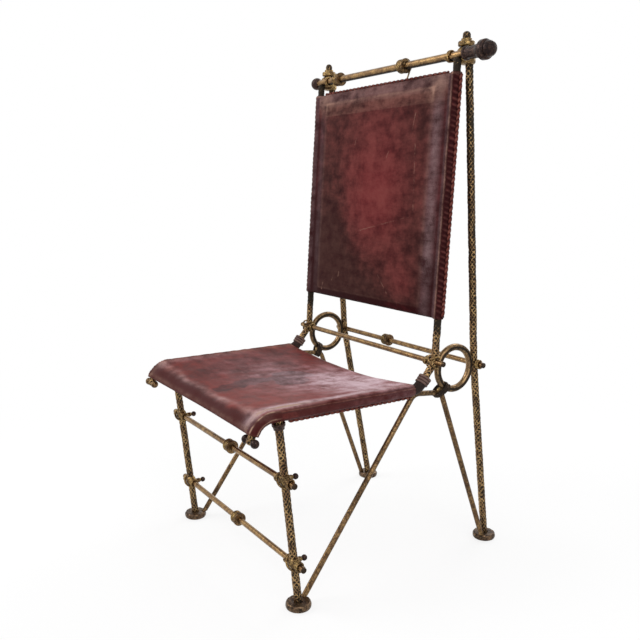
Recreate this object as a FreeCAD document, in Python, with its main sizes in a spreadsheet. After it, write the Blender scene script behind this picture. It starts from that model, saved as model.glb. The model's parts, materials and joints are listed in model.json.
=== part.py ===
import FreeCAD, Part
import math
import os
import Sketcher

# A high-back side chair of hammered iron bar with a slung leather seat and a leather back.
# Millimetres. The front of the chair faces -Y, +X is the sitter's left, the feet stand on Z = 0.
# Setbacks are measured rearward from the front of the chair, heights from the floor.
# The top bar stands out further on one side, so the middle plane of the seat lies beside X = 0.

V = FreeCAD.Vector
doc = FreeCAD.newDocument("HighBackChair")
sheet = doc.addObject("Spreadsheet::Sheet", "dims")

driving = [
    ("nose_tip_setback", 0.06, "foremost point of the rounded rail ends"),
    ("half_width", 265, "middle of the chair to the axis of each side"),
    ("height", 1200, "floor to the top of the finials"),
    ("rod_d", 18, "hammered bar of posts, rails and legs"),
    ("bar_d", 12.5, "smooth bar of stretchers, waist rails and braces"),
    ("top_bar_d", 17, "top bar"),
    ("wire_d", 4.4, "lashing wire"),
    ("fit_gap", 0.3, "room between a bar and what surrounds it"),
    ("end_chamfer", 1.5, "broken edge on bar ends"),
    ("foot_d", 56, "foot disc"),
    ("foot_h", 15, "foot disc thickness"),
    ("foot_rim_r", 4, "rounded rim of the foot disc"),
    ("foot_socket_d", 21, "counterbore that takes the leg"),
    ("foot_socket_depth", 5, "depth of the counterbore"),
    ("front_foot_setback", 116.5, "middle of the front feet"),
    ("leg_floor_setback", 117.5, "front leg axis carried down to the floor"),
    ("leg_top_setback", 70.5, "front leg axis at the height of the seat rail"),
    ("upper_stretcher_h", 288, "axis of the upper stretcher"),
    ("lower_stretcher_h", 103, "axis of the lower stretcher"),
    ("bar_overhang", 41, "stretcher end beyond the axis of the side"),
    ("waist_overhang", 34, "waist rail end beyond the axis of the side"),
    ("rear_foot_setback", 678, "middle of the rear feet"),
    ("rear_foot_half_width", 245, "middle of the chair to the middle of a rear foot"),
    ("rear_waist_setback", 601, "rear waist rail, where the rear post bends"),
    ("rear_waist_h", 465, "axis of the rear waist rail"),
    ("post_top_setback", 554, "rear post axis at its upper end"),
    ("post_top_h", 1150, "upper end of the rear post, inside the knuckle"),
    ("post_bend_r", 90, "bend of the rear post"),
    ("rail_top_setback", 521, "side rail axis at the top bar"),
    ("rail_top_h", 1146, "upper end of the side rail"),
    ("elbow_setback", 479, "corner of the elbow"),
    ("elbow_h", 483, "corner of the elbow"),
    ("elbow_r", 40, "bend at the elbow"),
    ("slope_setback", 431, "corner between slope and seat rail"),
    ("seat_rail_h", 427, "axis of the seat rail"),
    ("slope_r", 30, "bend between slope and seat rail"),
    ("nose_setback", 24.4, "corner of the front bend of the seat rail"),
    ("nose_r", 48, "front bend of the seat rail"),
    ("nose_turn", 70, "degrees that the rail turns down at the front"),
    ("nose_tail", 19, "straight end below the front bend"),
    ("ring_setback", 538, "middle of the side ring"),
    ("ring_h", 462, "middle of the side ring"),
    ("ring_outer_r", 56, "side ring, outside"),
    ("ring_bar", 14, "side ring, radial thickness"),
    ("ring_width", 13, "side ring, thickness across the chair"),
    ("ring_edge_r", 4, "rounded edges of the side ring"),
    ("ring_groove_depth", 1.8, "groove round both faces of the side ring"),
    ("ring_groove_half", 2.6, "half width of that groove"),
    ("brace_half_width", 254, "middle of the chair to the plane of a brace"),
    ("brace_front_setback", 138, "front end of the brace on its foot"),
    ("brace_rise_setback", 429, "front corner of the arch"),
    ("brace_rise_h", 414, "front corner of the arch"),
    ("brace_fall_setback", 511, "rear corner of the arch"),
    ("brace_fall_h", 405, "rear corner of the arch"),
    ("brace_rear_setback", 659, "rear end of the brace on its foot"),
    ("brace_rise_r", 26, "front bend of the arch"),
    ("brace_fall_r", 18, "rear bend of the arch"),
    ("top_bar_h", 1150, "axis of the top bar"),
    ("top_bar_setback", 526.4, "axis of the top bar"),
    ("top_bar_left", 318, "end of the top bar inside the knob"),
    ("top_bar_right", 285, "end of the top bar inside the ball"),
    ("knob_neck_d", 26, "neck of the turned knob"),
    ("knob_flange_d", 42, "flange of the turned knob"),
    ("knob_head_d", 34, "head of the turned knob"),
    ("knob_start", 284, "inner face of the knob"),
    ("knob_length", 80, "length of the turned knob"),
    ("ball_d", 32, "ball on the other end of the top bar"),
    ("ball_middle", 296, "middle of that ball"),
    ("knuckle_setback", 549, "middle of the knuckle"),
    ("knuckle_d", 37, "knuckle that joins a rear post to the top bar"),
    ("knuckle_h", 1131, "underside of the knuckle"),
    ("knuckle_len", 37, "height of the knuckle"),
    ("finial_setback", 545, "middle of the finial"),
    ("finial_shank_d", 12, "shank of the finial in the knuckle"),
    ("finial_shank_len", 12, "length of that shank"),
    ("collar_d", 36, "collar round the foot of a finial"),
    ("collar_thick", 11, "height of that collar"),
    ("collar_ring_d", 23, "small ring on that collar"),
    ("collar_ring_thick", 5, "height of that ring"),
    ("hub_d", 20, "hub of a wound collar"),
    ("hub_flange_d", 31, "flange of a wound collar"),
    ("hub_flange_thick", 5, "thickness of that flange"),
    ("hub_length", 21, "length of a wound collar"),
    ("top_hub_d", 23, "hub of a wound collar on the top bar"),
    ("top_hub_flange_d", 34, "flange of a wound collar on the top bar"),
    ("winding_pitch", 5, "distance between turns"),
    ("winding_turns", 3, "turns on a wound collar"),
    ("coil_turns", 2, "turns of the small coils beside a joint"),
    ("coil_start", 16.6, "axis of the side to the first wire of a coil"),
    ("upper_collar_x", 20, "place of the wound collar on the upper stretcher"),
    ("lower_collar_x", 10, "place of the wound collar on the lower stretcher"),
    ("waist_collar_x", -62, "place of the wound collar on the rear waist rail"),
    ("top_collar_left_x", 78, "place of the wound collar on the top bar, hook side"),
    ("top_collar_right_x", -188, "place of the wound collar on the top bar, other side"),
    ("leg_collar_d", 28, "collar at the top of a front leg"),
    ("leg_collar_len", 13, "height of that collar"),
    ("peg_shank_d", 8, "shank of the pegs at the front of the seat rails"),
    ("peg_drop", 11, "front bend to those pegs, along the rail end"),
    ("stub_d", 6.4, "shank of the stubs behind the legs"),
    ("stub_ball_d", 13, "ball on a stub"),
    ("stub_reach", 30, "stretcher axis to the middle of that ball"),
    ("stub_in", 8.2, "leg axis to a stub, inward"),
    ("stub_seat", 2.5, "stretcher axis to the end of the hole for a stub"),
    ("nose_ball_d", 18, "balls of the peg at the front of a seat rail"),
    ("nose_ball_middle", 18.4, "rail axis to the middle of such a ball"),
    ("leather_t", 4, "leather round the bars"),
    ("sheet_t", 5, "leather sheet of the seat"),
    ("seat_rear_setback", 415, "rear edge of the seat leather"),
    ("seat_front_turn", 69, "degrees that the leather follows the front bend"),
    ("seat_sag", 16, "sag of the seat between its rails"),
    ("back_bottom_h", 581, "lower edge of the leather back"),
    ("back_len", 534, "length of the leather back along the uprights"),
    ("back_crown", 15, "front of the padding, ahead of the uprights"),
    ("back_rear", 11, "rear sheet, behind the uprights"),
    ("back_plateau", 212, "half width of the flat of the padding"),
    ("back_seam_x", 247, "seam beside the uprights"),
    ("back_seam_y", 9.5, "front of the leather at that seam"),
    ("back_border", 36, "sloping border at the top and foot of the back"),
    ("back_border_drop", 5, "fall of that border"),
    ("wrap_d", 31, "leather wrap on the slope"),
    ("wrap_len", 20, "length of that wrap"),
    ("lace_d", 5, "lacing along the edges"),
    ("seat_lace_front", 92, "front end of the lacing under the seat rail"),
    ("hook_d", 3.6, "wire hook"),
    ("hook_x", 92, "place of the hook along the top bar"),
]
derived = [
    ("rod_r", "rod_d / 2", "radius of the hammered bar"),
    ("bar_r", "bar_d / 2", "radius of the smooth bar"),
    ("top_bar_r", "top_bar_d / 2", "radius of the top bar"),
    ("wire_r", "wire_d / 2", "radius of the wire"),
    ("rod_bore_r", "rod_r + fit_gap", "bore that takes the hammered bar"),
    ("bar_bore_r", "bar_r + fit_gap", "bore that takes the smooth bar"),
    ("sleeve_r", "rod_bore_r + leather_t", "outside of a leather sleeve"),
    ("front_y", "-(nose_tip_setback + rear_foot_setback + foot_d / 2) / 2", "front of the chair"),
    ("middle_x", "(ball_middle + ball_d / 2 - knob_start - knob_length) / 2", "middle plane of the seat"),
    ("leg_slope", "(leg_floor_setback - leg_top_setback) / seat_rail_h", "lean of the front legs"),
    ("upper_stretcher_setback", "leg_floor_setback - leg_slope * upper_stretcher_h", "upper stretcher"),
    ("lower_stretcher_setback", "leg_floor_setback - leg_slope * lower_stretcher_h", "lower stretcher"),
    ("post_rise", "post_top_h - rear_waist_h", "rise of the rear post above its bend"),
    ("post_fall", "rear_waist_h - foot_h + foot_socket_depth - 1.9", "drop of the rear post below its bend"),
    ("post_forward", "rear_waist_setback - post_top_setback", "run of the rear post above its bend"),
    ("post_back", "rear_foot_setback - rear_waist_setback", "run of the rear post below its bend"),
    ("post_in", "half_width - rear_foot_half_width", "inward run of the rear post below its bend"),
    ("post_upper_len", "sqrt(post_rise ^ 2 + post_forward ^ 2)", "rear post above its bend"),
    ("post_drop", "(post_rise * post_fall + post_forward * post_back) / post_upper_len", "lower end, along"),
    ("post_swing", "sqrt(post_fall ^ 2 + post_back ^ 2 + post_in ^ 2 - post_drop ^ 2)", "lower end, aside"),
    ("collar_h", "knuckle_h + knuckle_len + 0.1", "foot of the finial and its collar"),
    ("rail_lean", "(rail_top_setback - elbow_setback) / (rail_top_h - elbow_h)", "lean of the uprights"),
    ("nose_tangent", "nose_r * tan(nose_turn / 2 * 1 deg)", "corner to the ends of the front bend"),
    ("nose_reach", "nose_tangent + nose_tail", "corner to the end of the rail"),
    ("nose_end_setback", "nose_setback - nose_reach * cos(nose_turn * 1 deg)", "end of the rail"),
    ("nose_end_h", "seat_rail_h - nose_reach * sin(nose_turn * 1 deg)", "end of the rail"),
    ("seat_run", "seat_rear_setback - nose_setback - nose_tangent", "straight run of the seat leather"),
]

for row, (alias, value, meaning) in enumerate(driving + derived, 1):
    sheet.set(f"A{row}", alias)
    sheet.set(f"B{row}", str(value) if (alias, value, meaning) in driving else f"={value}")
    sheet.set(f"C{row}", meaning)
    sheet.setAlias(f"B{row}", alias)
doc.recompute()

nodes = []
sides = {"left": 1, "right": -1}
middle_x = float(sheet.middle_x)


def size(expression):
    # The number that a sheet expression stands for.
    return float(sheet.evalExpression(expression))


def keep(piece, label):
    # Names a finished piece and lists it for export.
    piece.Label = label
    nodes.append(piece)
    return piece


def place(side, setback, height, half_width="dims.half_width"):
    # A point of one side of the chair in the chair's frame.
    return V(middle_x + side * size(half_width), size("dims.front_y") + size(setback), size(height))


def new_body(name, base, rotation=FreeCAD.Rotation()):
    body = doc.addObject("PartDesign::Body", name)
    body.Placement = FreeCAD.Placement(base, rotation)
    return body


def new_sketch(body, role, name):
    sketch = body.newObject("Sketcher::SketchObject", name)
    plane = next(feature for feature in body.Origin.OriginFeatures if feature.Role == role)
    sketch.AttachmentSupport = (plane, [""])
    sketch.MapMode = "FlatFace"
    return sketch


def bind(sketch, expression, *constraint):
    # Adds a dimension and ties it to the sheet.
    index = sketch.addConstraint(Sketcher.Constraint(*constraint, size(expression)))
    name = f"size{index}"
    sketch.renameConstraint(index, name)
    sketch.setExpression(f"Constraints.{name}", expression)


def pin_point(sketch, curve, end, u, v):
    # Holds one end of a curve at sheet coordinates, on an axis where a coordinate is 0.
    for expression, axis, kind in ((u, -2, "DistanceX"), (v, -1, "DistanceY")):
        if expression == "0":
            sketch.addConstraint(Sketcher.Constraint("PointOnObject", curve, end, axis))
        else:
            bind(sketch, expression, kind, -1, 1, curve, end)


def draw_circle(sketch, u, v, radius):
    circle = Part.Circle(V(size(u), size(v), 0), V(0, 0, 1), size(radius))
    curve = sketch.addGeometry(circle)
    bind(sketch, radius, "Radius", curve)
    if u == v == "0":
        sketch.addConstraint(Sketcher.Constraint("Coincident", curve, 3, -1, 1))
    else:
        pin_point(sketch, curve, 3, u, v)


def arc_middle(start, end, radius, side):
    # Middle of the shorter arc from start to end, bulging to the right of the way where side is 1.
    chord = end - start
    half = chord.Length / 2
    rise = radius - math.sqrt(radius ** 2 - half ** 2)
    normal = V(chord.y, -chord.x, 0).normalize()
    return (start + end) / 2 + normal * rise * side


def flat_arc(start, middle, end):
    # A sketch arc through three points, run counter-clockwise, and whether that swaps its ends.
    circle = Part.Arc(start, middle, end).toShape().Curve
    swapped = (middle - start).cross(end - middle).z < 0
    first, last = (end, start) if swapped else (start, end)
    angles = [math.atan2(spot.y - circle.Center.y, spot.x - circle.Center.x) for spot in (first, last)]
    if angles[1] < angles[0]:
        angles[1] += 2 * math.pi
    return Part.ArcOfCircle(Part.Circle(circle.Center, V(0, 0, 1), circle.Radius), *angles), swapped


def draw_outline(sketch, corners):
    # A closed outline. Each corner is (u, v), or (u, v, radius, side) where an arc leads to it.
    points = [V(size(corner[0]), size(corner[1]), 0) for corner in corners]
    curves = []
    ends = []
    for number, corner in enumerate(corners):
        start, end = points[number - 1], points[number]
        curve, swapped = Part.LineSegment(start, end), False
        if len(corner) > 2:
            middle = arc_middle(start, end, size(corner[2]), corner[3])
            curve, swapped = flat_arc(start, middle, end)
        curves.append(sketch.addGeometry(curve))
        ends.append((2, 1) if swapped else (1, 2))
    for number, corner in enumerate(corners):
        after = (number + 1) % len(corners)
        link = (curves[number], ends[number][1], curves[after], ends[after][0])
        sketch.addConstraint(Sketcher.Constraint("Coincident", *link))
        pin_point(sketch, curves[number], ends[number][1], corner[0], corner[1])
        if len(corner) > 2:
            bind(sketch, corner[2], "Radius", curves[number])


def draw_bent_line(sketch, corners, radii):
    # An open line through corners, with tangent arcs of the given radii at the inner ones.
    points = [V(size(u), size(v), 0) for u, v in corners]
    starts, ends = list(points), list(points)
    arcs = []
    for number, radius in enumerate(radii, 1):
        before = (points[number - 1] - points[number]).normalize()
        after = (points[number + 1] - points[number]).normalize()
        half = before.getAngle(after) / 2
        reach = size(radius) / math.tan(half)
        ends[number] = points[number] + before * reach
        starts[number] = points[number] + after * reach
        inward = (before + after).normalize()
        middle = points[number] + inward * (size(radius) / math.sin(half) - size(radius))
        arcs.append(flat_arc(ends[number], middle, starts[number]))
    lines = []
    for number in range(len(points) - 1):
        lines.append(sketch.addGeometry(Part.LineSegment(starts[number], ends[number + 1])))
    pin_point(sketch, lines[0], 1, *corners[0])
    pin_point(sketch, lines[-1], 2, *corners[-1])
    for number, (arc, swapped) in enumerate(arcs, 1):
        curve = sketch.addGeometry(arc)
        near, far = (2, 1) if swapped else (1, 2)
        sketch.addConstraint(Sketcher.Constraint("Tangent", lines[number - 1], 2, curve, near))
        sketch.addConstraint(Sketcher.Constraint("Tangent", curve, far, lines[number], 1))
        bind(sketch, radii[number - 1], "Radius", curve)
        corner = sketch.addGeometry(Part.Point(points[number]), True)
        sketch.addConstraint(Sketcher.Constraint("PointOnObject", corner, 1, lines[number - 1]))
        sketch.addConstraint(Sketcher.Constraint("PointOnObject", corner, 1, lines[number]))
        pin_point(sketch, corner, 1, *corners[number])
    return len(lines) + len(arcs)


def round_edges(body, radius, chosen):
    # Rounds the edges of a body that the test chosen picks.
    blank = body.Tip
    names = [f"Edge{number}" for number, edge in enumerate(blank.Shape.Edges, 1) if chosen(edge)]
    fillet = body.newObject("PartDesign::Fillet", body.Name + "_round")
    fillet.Base = (blank, names)
    fillet.Radius = size(radius)
    fillet.setExpression("Radius", radius)
    doc.recompute()


def bent_rod(name, diameter, corners, radii, base, rotation=FreeCAD.Rotation()):
    # A round bar along a bent line in the local YZ plane.
    body = new_body(name, base, rotation)
    path = new_sketch(body, "YZ_Plane", name + "_path")
    count = draw_bent_line(path, corners, radii)
    doc.recompute()
    section = body.newObject("Sketcher::SketchObject", name + "_section")
    section.AttachmentSupport = [(path, "Edge1")]
    section.MapMode = "NormalToEdge"
    draw_circle(section, "0", "0", f"{diameter} / 2")
    doc.recompute()
    pipe = body.newObject("PartDesign::AdditivePipe", name + "_pipe")
    pipe.Profile = section
    pipe.Spine = (path, [f"Edge{number}" for number in range(1, count + 1)])
    doc.recompute()
    return body


def turned(name, corners, base, rotation=FreeCAD.Rotation()):
    # A lathe-turned piece about the local Z axis. Corners are (radius, height).
    body = new_body(name, base, rotation)
    profile = new_sketch(body, "XZ_Plane", name + "_profile")
    draw_outline(profile, corners)
    doc.recompute()
    turning = body.newObject("PartDesign::Revolution", name + "_turning")
    turning.Profile = profile
    turning.ReferenceAxis = (profile, ["V_Axis"])
    turning.Angle = 360
    doc.recompute()
    return body


def straight_bar(name, radius, length, base, rotation):
    # A bar with broken end edges, its middle at the local origin.
    half = f"({length}) / 2"
    neck = f"{radius} - dims.end_chamfer"
    inner = f"{half} - dims.end_chamfer"
    corners = [("0", f"-({half})"), (neck, f"-({half})"), (radius, f"-({inner})")]
    corners += [(radius, inner), (neck, half), ("0", half)]
    return turned(name, corners, base, rotation)


def bore(name, radius, length, middle, direction):
    # A drill of the given radius through a point.
    drill = doc.addObject("Part::Cylinder", name)
    drill.setExpression("Radius", radius)
    drill.setExpression("Height", length)
    turn = FreeCAD.Rotation(V(0, 0, 1), direction)
    drill.Placement = FreeCAD.Placement(middle - turn.multVec(V(0, 0, size(length) / 2)), turn)
    return drill


def cut(name, piece, tools):
    # A piece with the tools taken out of it.
    group = doc.addObject("Part::Compound", name + "_tools")
    group.Links = tools
    result = doc.addObject("Part::Cut", name)
    result.Base = piece
    result.Tool = group
    return result


def group_of(name, shapes):
    # One piece made of separate solids of wire.
    piece = doc.addObject("Part::Feature", name)
    piece.Shape = Part.makeCompound(shapes)
    return piece


def tube(edges, radius):
    # A round wire along tangent edges.
    path = Part.Wire(edges)
    first = edges[0]
    start = first.valueAt(first.FirstParameter)
    heading = first.tangentAt(first.FirstParameter)
    section = Part.Wire(Part.makeCircle(radius, start, heading))
    shell = Part.BRepOffsetAPI.MakePipeShell(path)
    shell.add(section)
    shell.build()
    shell.makeSolid()
    solid = shell.shape()
    if solid.Volume < 0:
        solid.reverse()
    return solid


def tangent_arc(start, corner, end):
    # The arc that touches start-corner and corner-end, which are equally long.
    weight = math.cos((corner - start).getAngle(end - start))
    middle = (start + corner * 2 * weight + end) / (2 + 2 * weight)
    return Part.Arc(start, middle, end).toShape()


def biarc(start, heading, end, arriving):
    # Two arcs that meet smoothly and hold the directions at both ends.
    gap = end - start
    both = heading + arriving
    square = both.dot(both) - 4
    along = gap.dot(both)
    reach = (along - math.sqrt(along ** 2 - square * gap.dot(gap))) / square
    first = start + heading * reach
    last = end - arriving * reach
    joint = (first + last) / 2
    return [tangent_arc(start, first, joint), tangent_arc(joint, last, end)]


def coil(label, radius, pitch, turns, wire_r):
    # A helix of wire about the local X axis, from its first turn at X = 0, by biarcs of a quarter turn.
    quarters = int(4 * turns)
    rise = pitch / (2 * math.pi)

    def point(angle):
        return V(rise * angle, radius * math.cos(angle), radius * math.sin(angle))

    def heading(angle):
        return V(rise, -radius * math.sin(angle), radius * math.cos(angle)).normalize()

    edges = []
    for quarter in range(quarters):
        start, end = quarter * math.pi / 2, (quarter + 1) * math.pi / 2
        edges += biarc(point(start), heading(start), point(end), heading(end))
    steps = 48
    spots = [point(2 * math.pi * step / steps) for step in range(int(turns * steps) + 1)]
    far_apart = [(a, b) for a in range(len(spots)) for b in range(a + steps // 2, len(spots))]
    least = min((spots[a] - spots[b]).Length for a, b in far_apart) - 2 * wire_r
    print(f"{label}: {turns:g} turns, least gap between turns {least:.2f} mm")
    return tube(edges, wire_r)


def open_oval(half_long, half_wide, wire_r, gap_at, gap_half, end_share=0.72):
    # A bent wire hook in the local XZ plane: a four-centre oval, long along X, with a gap in it.
    # Angles are those of the outward normal, from +X towards +Z.
    end_r = half_wide * end_share
    side_r = ((half_long - end_r) ** 2 + half_wide ** 2 - end_r ** 2) / (2 * (half_wide - end_r))
    end_shift = half_long - end_r
    side_shift = half_wide - side_r
    split = math.atan2(-side_shift, end_shift)

    def point(angle, inside):
        if abs(math.sin(inside)) < math.sin(split):
            middle = V(math.copysign(end_shift, math.cos(inside)), 0, 0)
            radius = end_r
        else:
            middle = V(0, 0, math.copysign(side_shift, -math.sin(inside)))
            radius = side_r
        return middle + V(radius * math.cos(angle), 0, radius * math.sin(angle))

    first, last = gap_at + gap_half, gap_at + 2 * math.pi - gap_half
    corners = [half * math.pi + sign * split for half in range(-1, 5) for sign in (-1, 1)]
    stops = [first] + sorted(corner for corner in corners if first < corner < last) + [last]
    edges = []
    for start, end in zip(stops, stops[1:]):
        half = (start + end) / 2
        edges.append(Part.Arc(point(start, half), point(half, half), point(end, half)).toShape())
    return tube(edges, wire_r)


def placed(shape, placement):
    copy = shape.copy()
    copy.Placement = placement.multiply(copy.Placement)
    return copy


across = FreeCAD.Rotation(V(0, 0, 1), V(1, 0, 0))
rearward = FreeCAD.Rotation(V(0, 0, 1), V(0, 1, 0))
upright = V(0, size("dims.rail_lean"), 1).normalize()
leg_up = V(0, -size("dims.leg_slope"), 1).normalize()
slope_up = place(1, "dims.elbow_setback", "dims.elbow_h") - place(1, "dims.slope_setback", "dims.seat_rail_h")
slope_up.normalize()
post_up = V(0, -size("dims.post_forward"), size("dims.post_rise")).normalize()
top_bar_middle = V(middle_x, size("dims.front_y + dims.top_bar_setback"), size("dims.top_bar_h"))
elbow_half = upright.getAngle(slope_up * -1) / 2
elbow_inset = size("dims.elbow_r") / math.sin(elbow_half) - size("dims.elbow_r")
elbow_corner = V(middle_x, size("dims.front_y + dims.elbow_setback"), size("dims.elbow_h"))
waist_front = elbow_corner + (upright - slope_up).normalize() * elbow_inset
waist_rear = V(middle_x, size("dims.front_y + dims.rear_waist_setback"), size("dims.rear_waist_h"))


def stretcher_middle(level):
    setback = size(f"dims.front_y + dims.{level}_stretcher_setback")
    return V(middle_x, setback, size(f"dims.{level}_stretcher_h"))


# Rear posts: a bar with one bend, in the plane that holds both of its runs.
for name, side in sides.items():
    bend = place(side, "dims.rear_waist_setback", "dims.rear_waist_h")
    lower = V(-side * size("dims.post_in"), size("dims.post_back"), -size("dims.post_fall"))
    swing = (lower - post_up * lower.dot(post_up)).normalize()
    turn = FreeCAD.Rotation(V(0, 0, 0), swing, post_up, "ZYX")
    line = [("dims.post_swing", "-dims.post_drop"), ("0", "0"), ("0", "dims.post_upper_len")]
    post = bent_rod(f"post_bar_{name}", "dims.rod_d", line, ["dims.post_bend_r"], bend, turn)
    top = size("dims.post_upper_len")
    round_edges(post, "dims.end_chamfer", lambda edge: edge.BoundBox.ZMin > top - 0.1)
    drill = bore(f"post_drill_{name}", "dims.bar_bore_r", "dims.rod_d * 2", bend, V(1, 0, 0))
    keep(cut(f"rear_post_{name}", post, [drill]), f"rear_post_{name}")

# Side rails: upright, elbow, slope, seat rail and nose are one bent bar, fish-mouthed under the top bar.
rail_line = [
    ("dims.nose_end_setback", "dims.nose_end_h"),
    ("dims.nose_setback", "dims.seat_rail_h"),
    ("dims.slope_setback", "dims.seat_rail_h"),
    ("dims.elbow_setback", "dims.elbow_h"),
    ("dims.rail_top_setback", "dims.rail_top_h"),
]
nose_spot = "dims.nose_setback - (dims.nose_tangent + dims.peg_drop) * cos(dims.nose_turn * 1 deg)"
nose_spot_h = "dims.seat_rail_h - (dims.nose_tangent + dims.peg_drop) * sin(dims.nose_turn * 1 deg)"
peg_bore_r = "dims.peg_shank_d / 2 + dims.fit_gap"
for name, side in sides.items():
    foremost = place(side, "0", "0")
    aside = V(side * size("dims.half_width"), 0, 0)
    bends = ["dims.nose_r", "dims.slope_r", "dims.elbow_r"]
    rail = bent_rod(f"rail_bar_{name}", "dims.rod_d", rail_line, bends, foremost)
    end_h = size("dims.nose_end_h") + size("dims.rod_r")
    round_edges(rail, "dims.rod_r - 1.5", lambda edge: edge.BoundBox.ZMax < end_h)
    waist = waist_front + aside
    peg = place(side, nose_spot, nose_spot_h)
    cope = top_bar_middle + aside
    drills = [
        bore(f"rail_waist_drill_{name}", "dims.bar_bore_r", "dims.rod_d * 2", waist, V(1, 0, 0)),
        bore(f"rail_peg_drill_{name}", peg_bore_r, "dims.rod_d * 2", peg, V(1, 0, 0)),
        bore(f"rail_cope_{name}", "dims.top_bar_r + dims.fit_gap", "dims.rod_d * 2", cope, V(1, 0, 0)),
    ]
    keep(cut(f"side_rail_{name}", rail, drills), f"side_rail_{name}")

# Front legs: leaning bars in the foot sockets, drilled for stretchers and stubs, coped to the seat rails.
leg_length = "(dims.seat_rail_h - dims.foot_h + dims.foot_socket_depth - 1.5) * sqrt(1 + dims.leg_slope ^ 2)"
leg_turn = FreeCAD.Rotation(V(0, 0, 1), leg_up)
stub_bore_r = "dims.stub_d / 2 + dims.fit_gap"
stub_hole = "dims.rod_r * 2"
stub_shift = V(0, size(f"dims.stub_seat + ({stub_hole}) / 2"), 0)
for name, side in sides.items():
    lower = "dims.foot_h - dims.foot_socket_depth + 1.5"
    foot = place(side, f"dims.leg_floor_setback - dims.leg_slope * ({lower})", lower)
    middle = foot + leg_up * (size(leg_length) / 2)
    leg = straight_bar(f"leg_bar_{name}", "dims.rod_r", leg_length, middle, leg_turn)
    seat = place(side, "dims.leg_top_setback", "dims.seat_rail_h")
    drills = [bore(f"leg_cope_{name}", "dims.rod_bore_r", "dims.rod_d * 3", seat, V(0, 1, 0))]
    for level in ("upper", "lower"):
        through = stretcher_middle(level) + V(side * size("dims.half_width"), 0, 0)
        stub = through + V(-side * size("dims.stub_in"), 0, 0) + stub_shift
        drills += [
            bore(f"leg_{level}_drill_{name}", "dims.bar_bore_r", "dims.rod_d * 2", through, V(1, 0, 0)),
            bore(f"leg_{level}_stub_drill_{name}", stub_bore_r, stub_hole, stub, V(0, 1, 0)),
        ]
    keep(cut(f"front_leg_{name}", leg, drills), f"front_leg_{name}")

# Feet: turned discs with a rounded rim and a counterbore.
foot_r = "dims.foot_d / 2"
socket_r = "dims.foot_socket_d / 2"
socket_h = "dims.foot_h - dims.foot_socket_depth"
foot_profile = [
    ("0", "0"),
    (f"{foot_r} - dims.foot_rim_r / 2", "0"),
    (foot_r, "dims.foot_rim_r / 2", "dims.foot_rim_r / 2", 1),
    (foot_r, "dims.foot_h - dims.foot_rim_r"),
    (f"{foot_r} - dims.foot_rim_r", "dims.foot_h", "dims.foot_rim_r", 1),
    (socket_r, "dims.foot_h"),
    (socket_r, socket_h),
    ("0", socket_h),
]
for name, side in sides.items():
    front_spot = place(side, "dims.front_foot_setback", "0")
    rear_spot = place(side, "dims.rear_foot_setback", "0", "dims.rear_foot_half_width")
    keep(turned(f"foot_front_{name}", foot_profile, front_spot), f"foot_front_{name}")
    keep(turned(f"foot_rear_{name}", foot_profile, rear_spot), f"foot_rear_{name}")

# Stretchers, waist rails and top bar: straight bars across the chair.
stretcher_length = "2 * (dims.half_width + dims.bar_overhang)"
waist_length = "2 * (dims.half_width + dims.waist_overhang)"
for level in ("upper", "lower"):
    middle = stretcher_middle(level)
    bar = straight_bar(f"{level}_stretcher_bar", "dims.bar_r", stretcher_length, middle, across)
    holes = []
    for name, side in sides.items():
        stub = middle + V(side * size("dims.half_width - dims.stub_in"), 0, 0) + stub_shift
        holes.append(bore(f"{level}_stub_drill_{name}", stub_bore_r, stub_hole, stub, V(0, 1, 0)))
    keep(cut(f"{level}_stretcher", bar, holes), f"{level}_stretcher")
for name, middle in (("front", waist_front), ("rear", waist_rear)):
    piece = straight_bar(f"waist_rail_{name}", "dims.bar_r", waist_length, middle, across)
    keep(piece, f"waist_rail_{name}")
top_bar_length = "dims.top_bar_left + dims.top_bar_right"
top_bar_shift = V(size("(dims.top_bar_left - dims.top_bar_right) / 2"), 0, 0)
piece = straight_bar("top_bar", "dims.top_bar_r", top_bar_length, top_bar_middle + top_bar_shift, across)
keep(piece, "top_bar")

# Knob: a turned head, flange and neck that take the end of the top bar in a blind bore.
top_bore_r = "dims.top_bar_r + dims.fit_gap"
neck_r = "dims.knob_neck_d / 2"
flange_r = "dims.knob_flange_d / 2"
head_r = "dims.knob_head_d / 2"
knob_bore = "dims.top_bar_left - dims.knob_start + dims.fit_gap"
knob_cap_r = f"{head_r} * 0.72"
knob_cap_h = "dims.knob_length * 0.03"
knob_cap_curve = f"(({knob_cap_r}) ^ 2 + ({knob_cap_h}) ^ 2) / (2 * {knob_cap_h})"
knob_profile = [
    (top_bore_r, "0"),
    (f"{neck_r} + 2", "0"),
    (f"{neck_r} + 2", "4"),
    (neck_r, "8", "14", -1),
    (f"{neck_r} + 1", "dims.knob_length * 0.44"),
    (flange_r, "dims.knob_length * 0.62", "40", -1),
    (flange_r, "dims.knob_length * 0.74"),
    (f"{head_r} - 2", "dims.knob_length * 0.78"),
    (head_r, "dims.knob_length * 0.83"),
    (knob_cap_r, f"dims.knob_length - {knob_cap_h}", "16", 1),
    ("0", "dims.knob_length", knob_cap_curve, 1),
    ("0", knob_bore),
    (top_bore_r, knob_bore),
]
knob_spot = top_bar_middle + V(size("dims.knob_start"), 0, 0)
keep(turned("top_knob_left", knob_profile, knob_spot, across), "top_knob_left")

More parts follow.
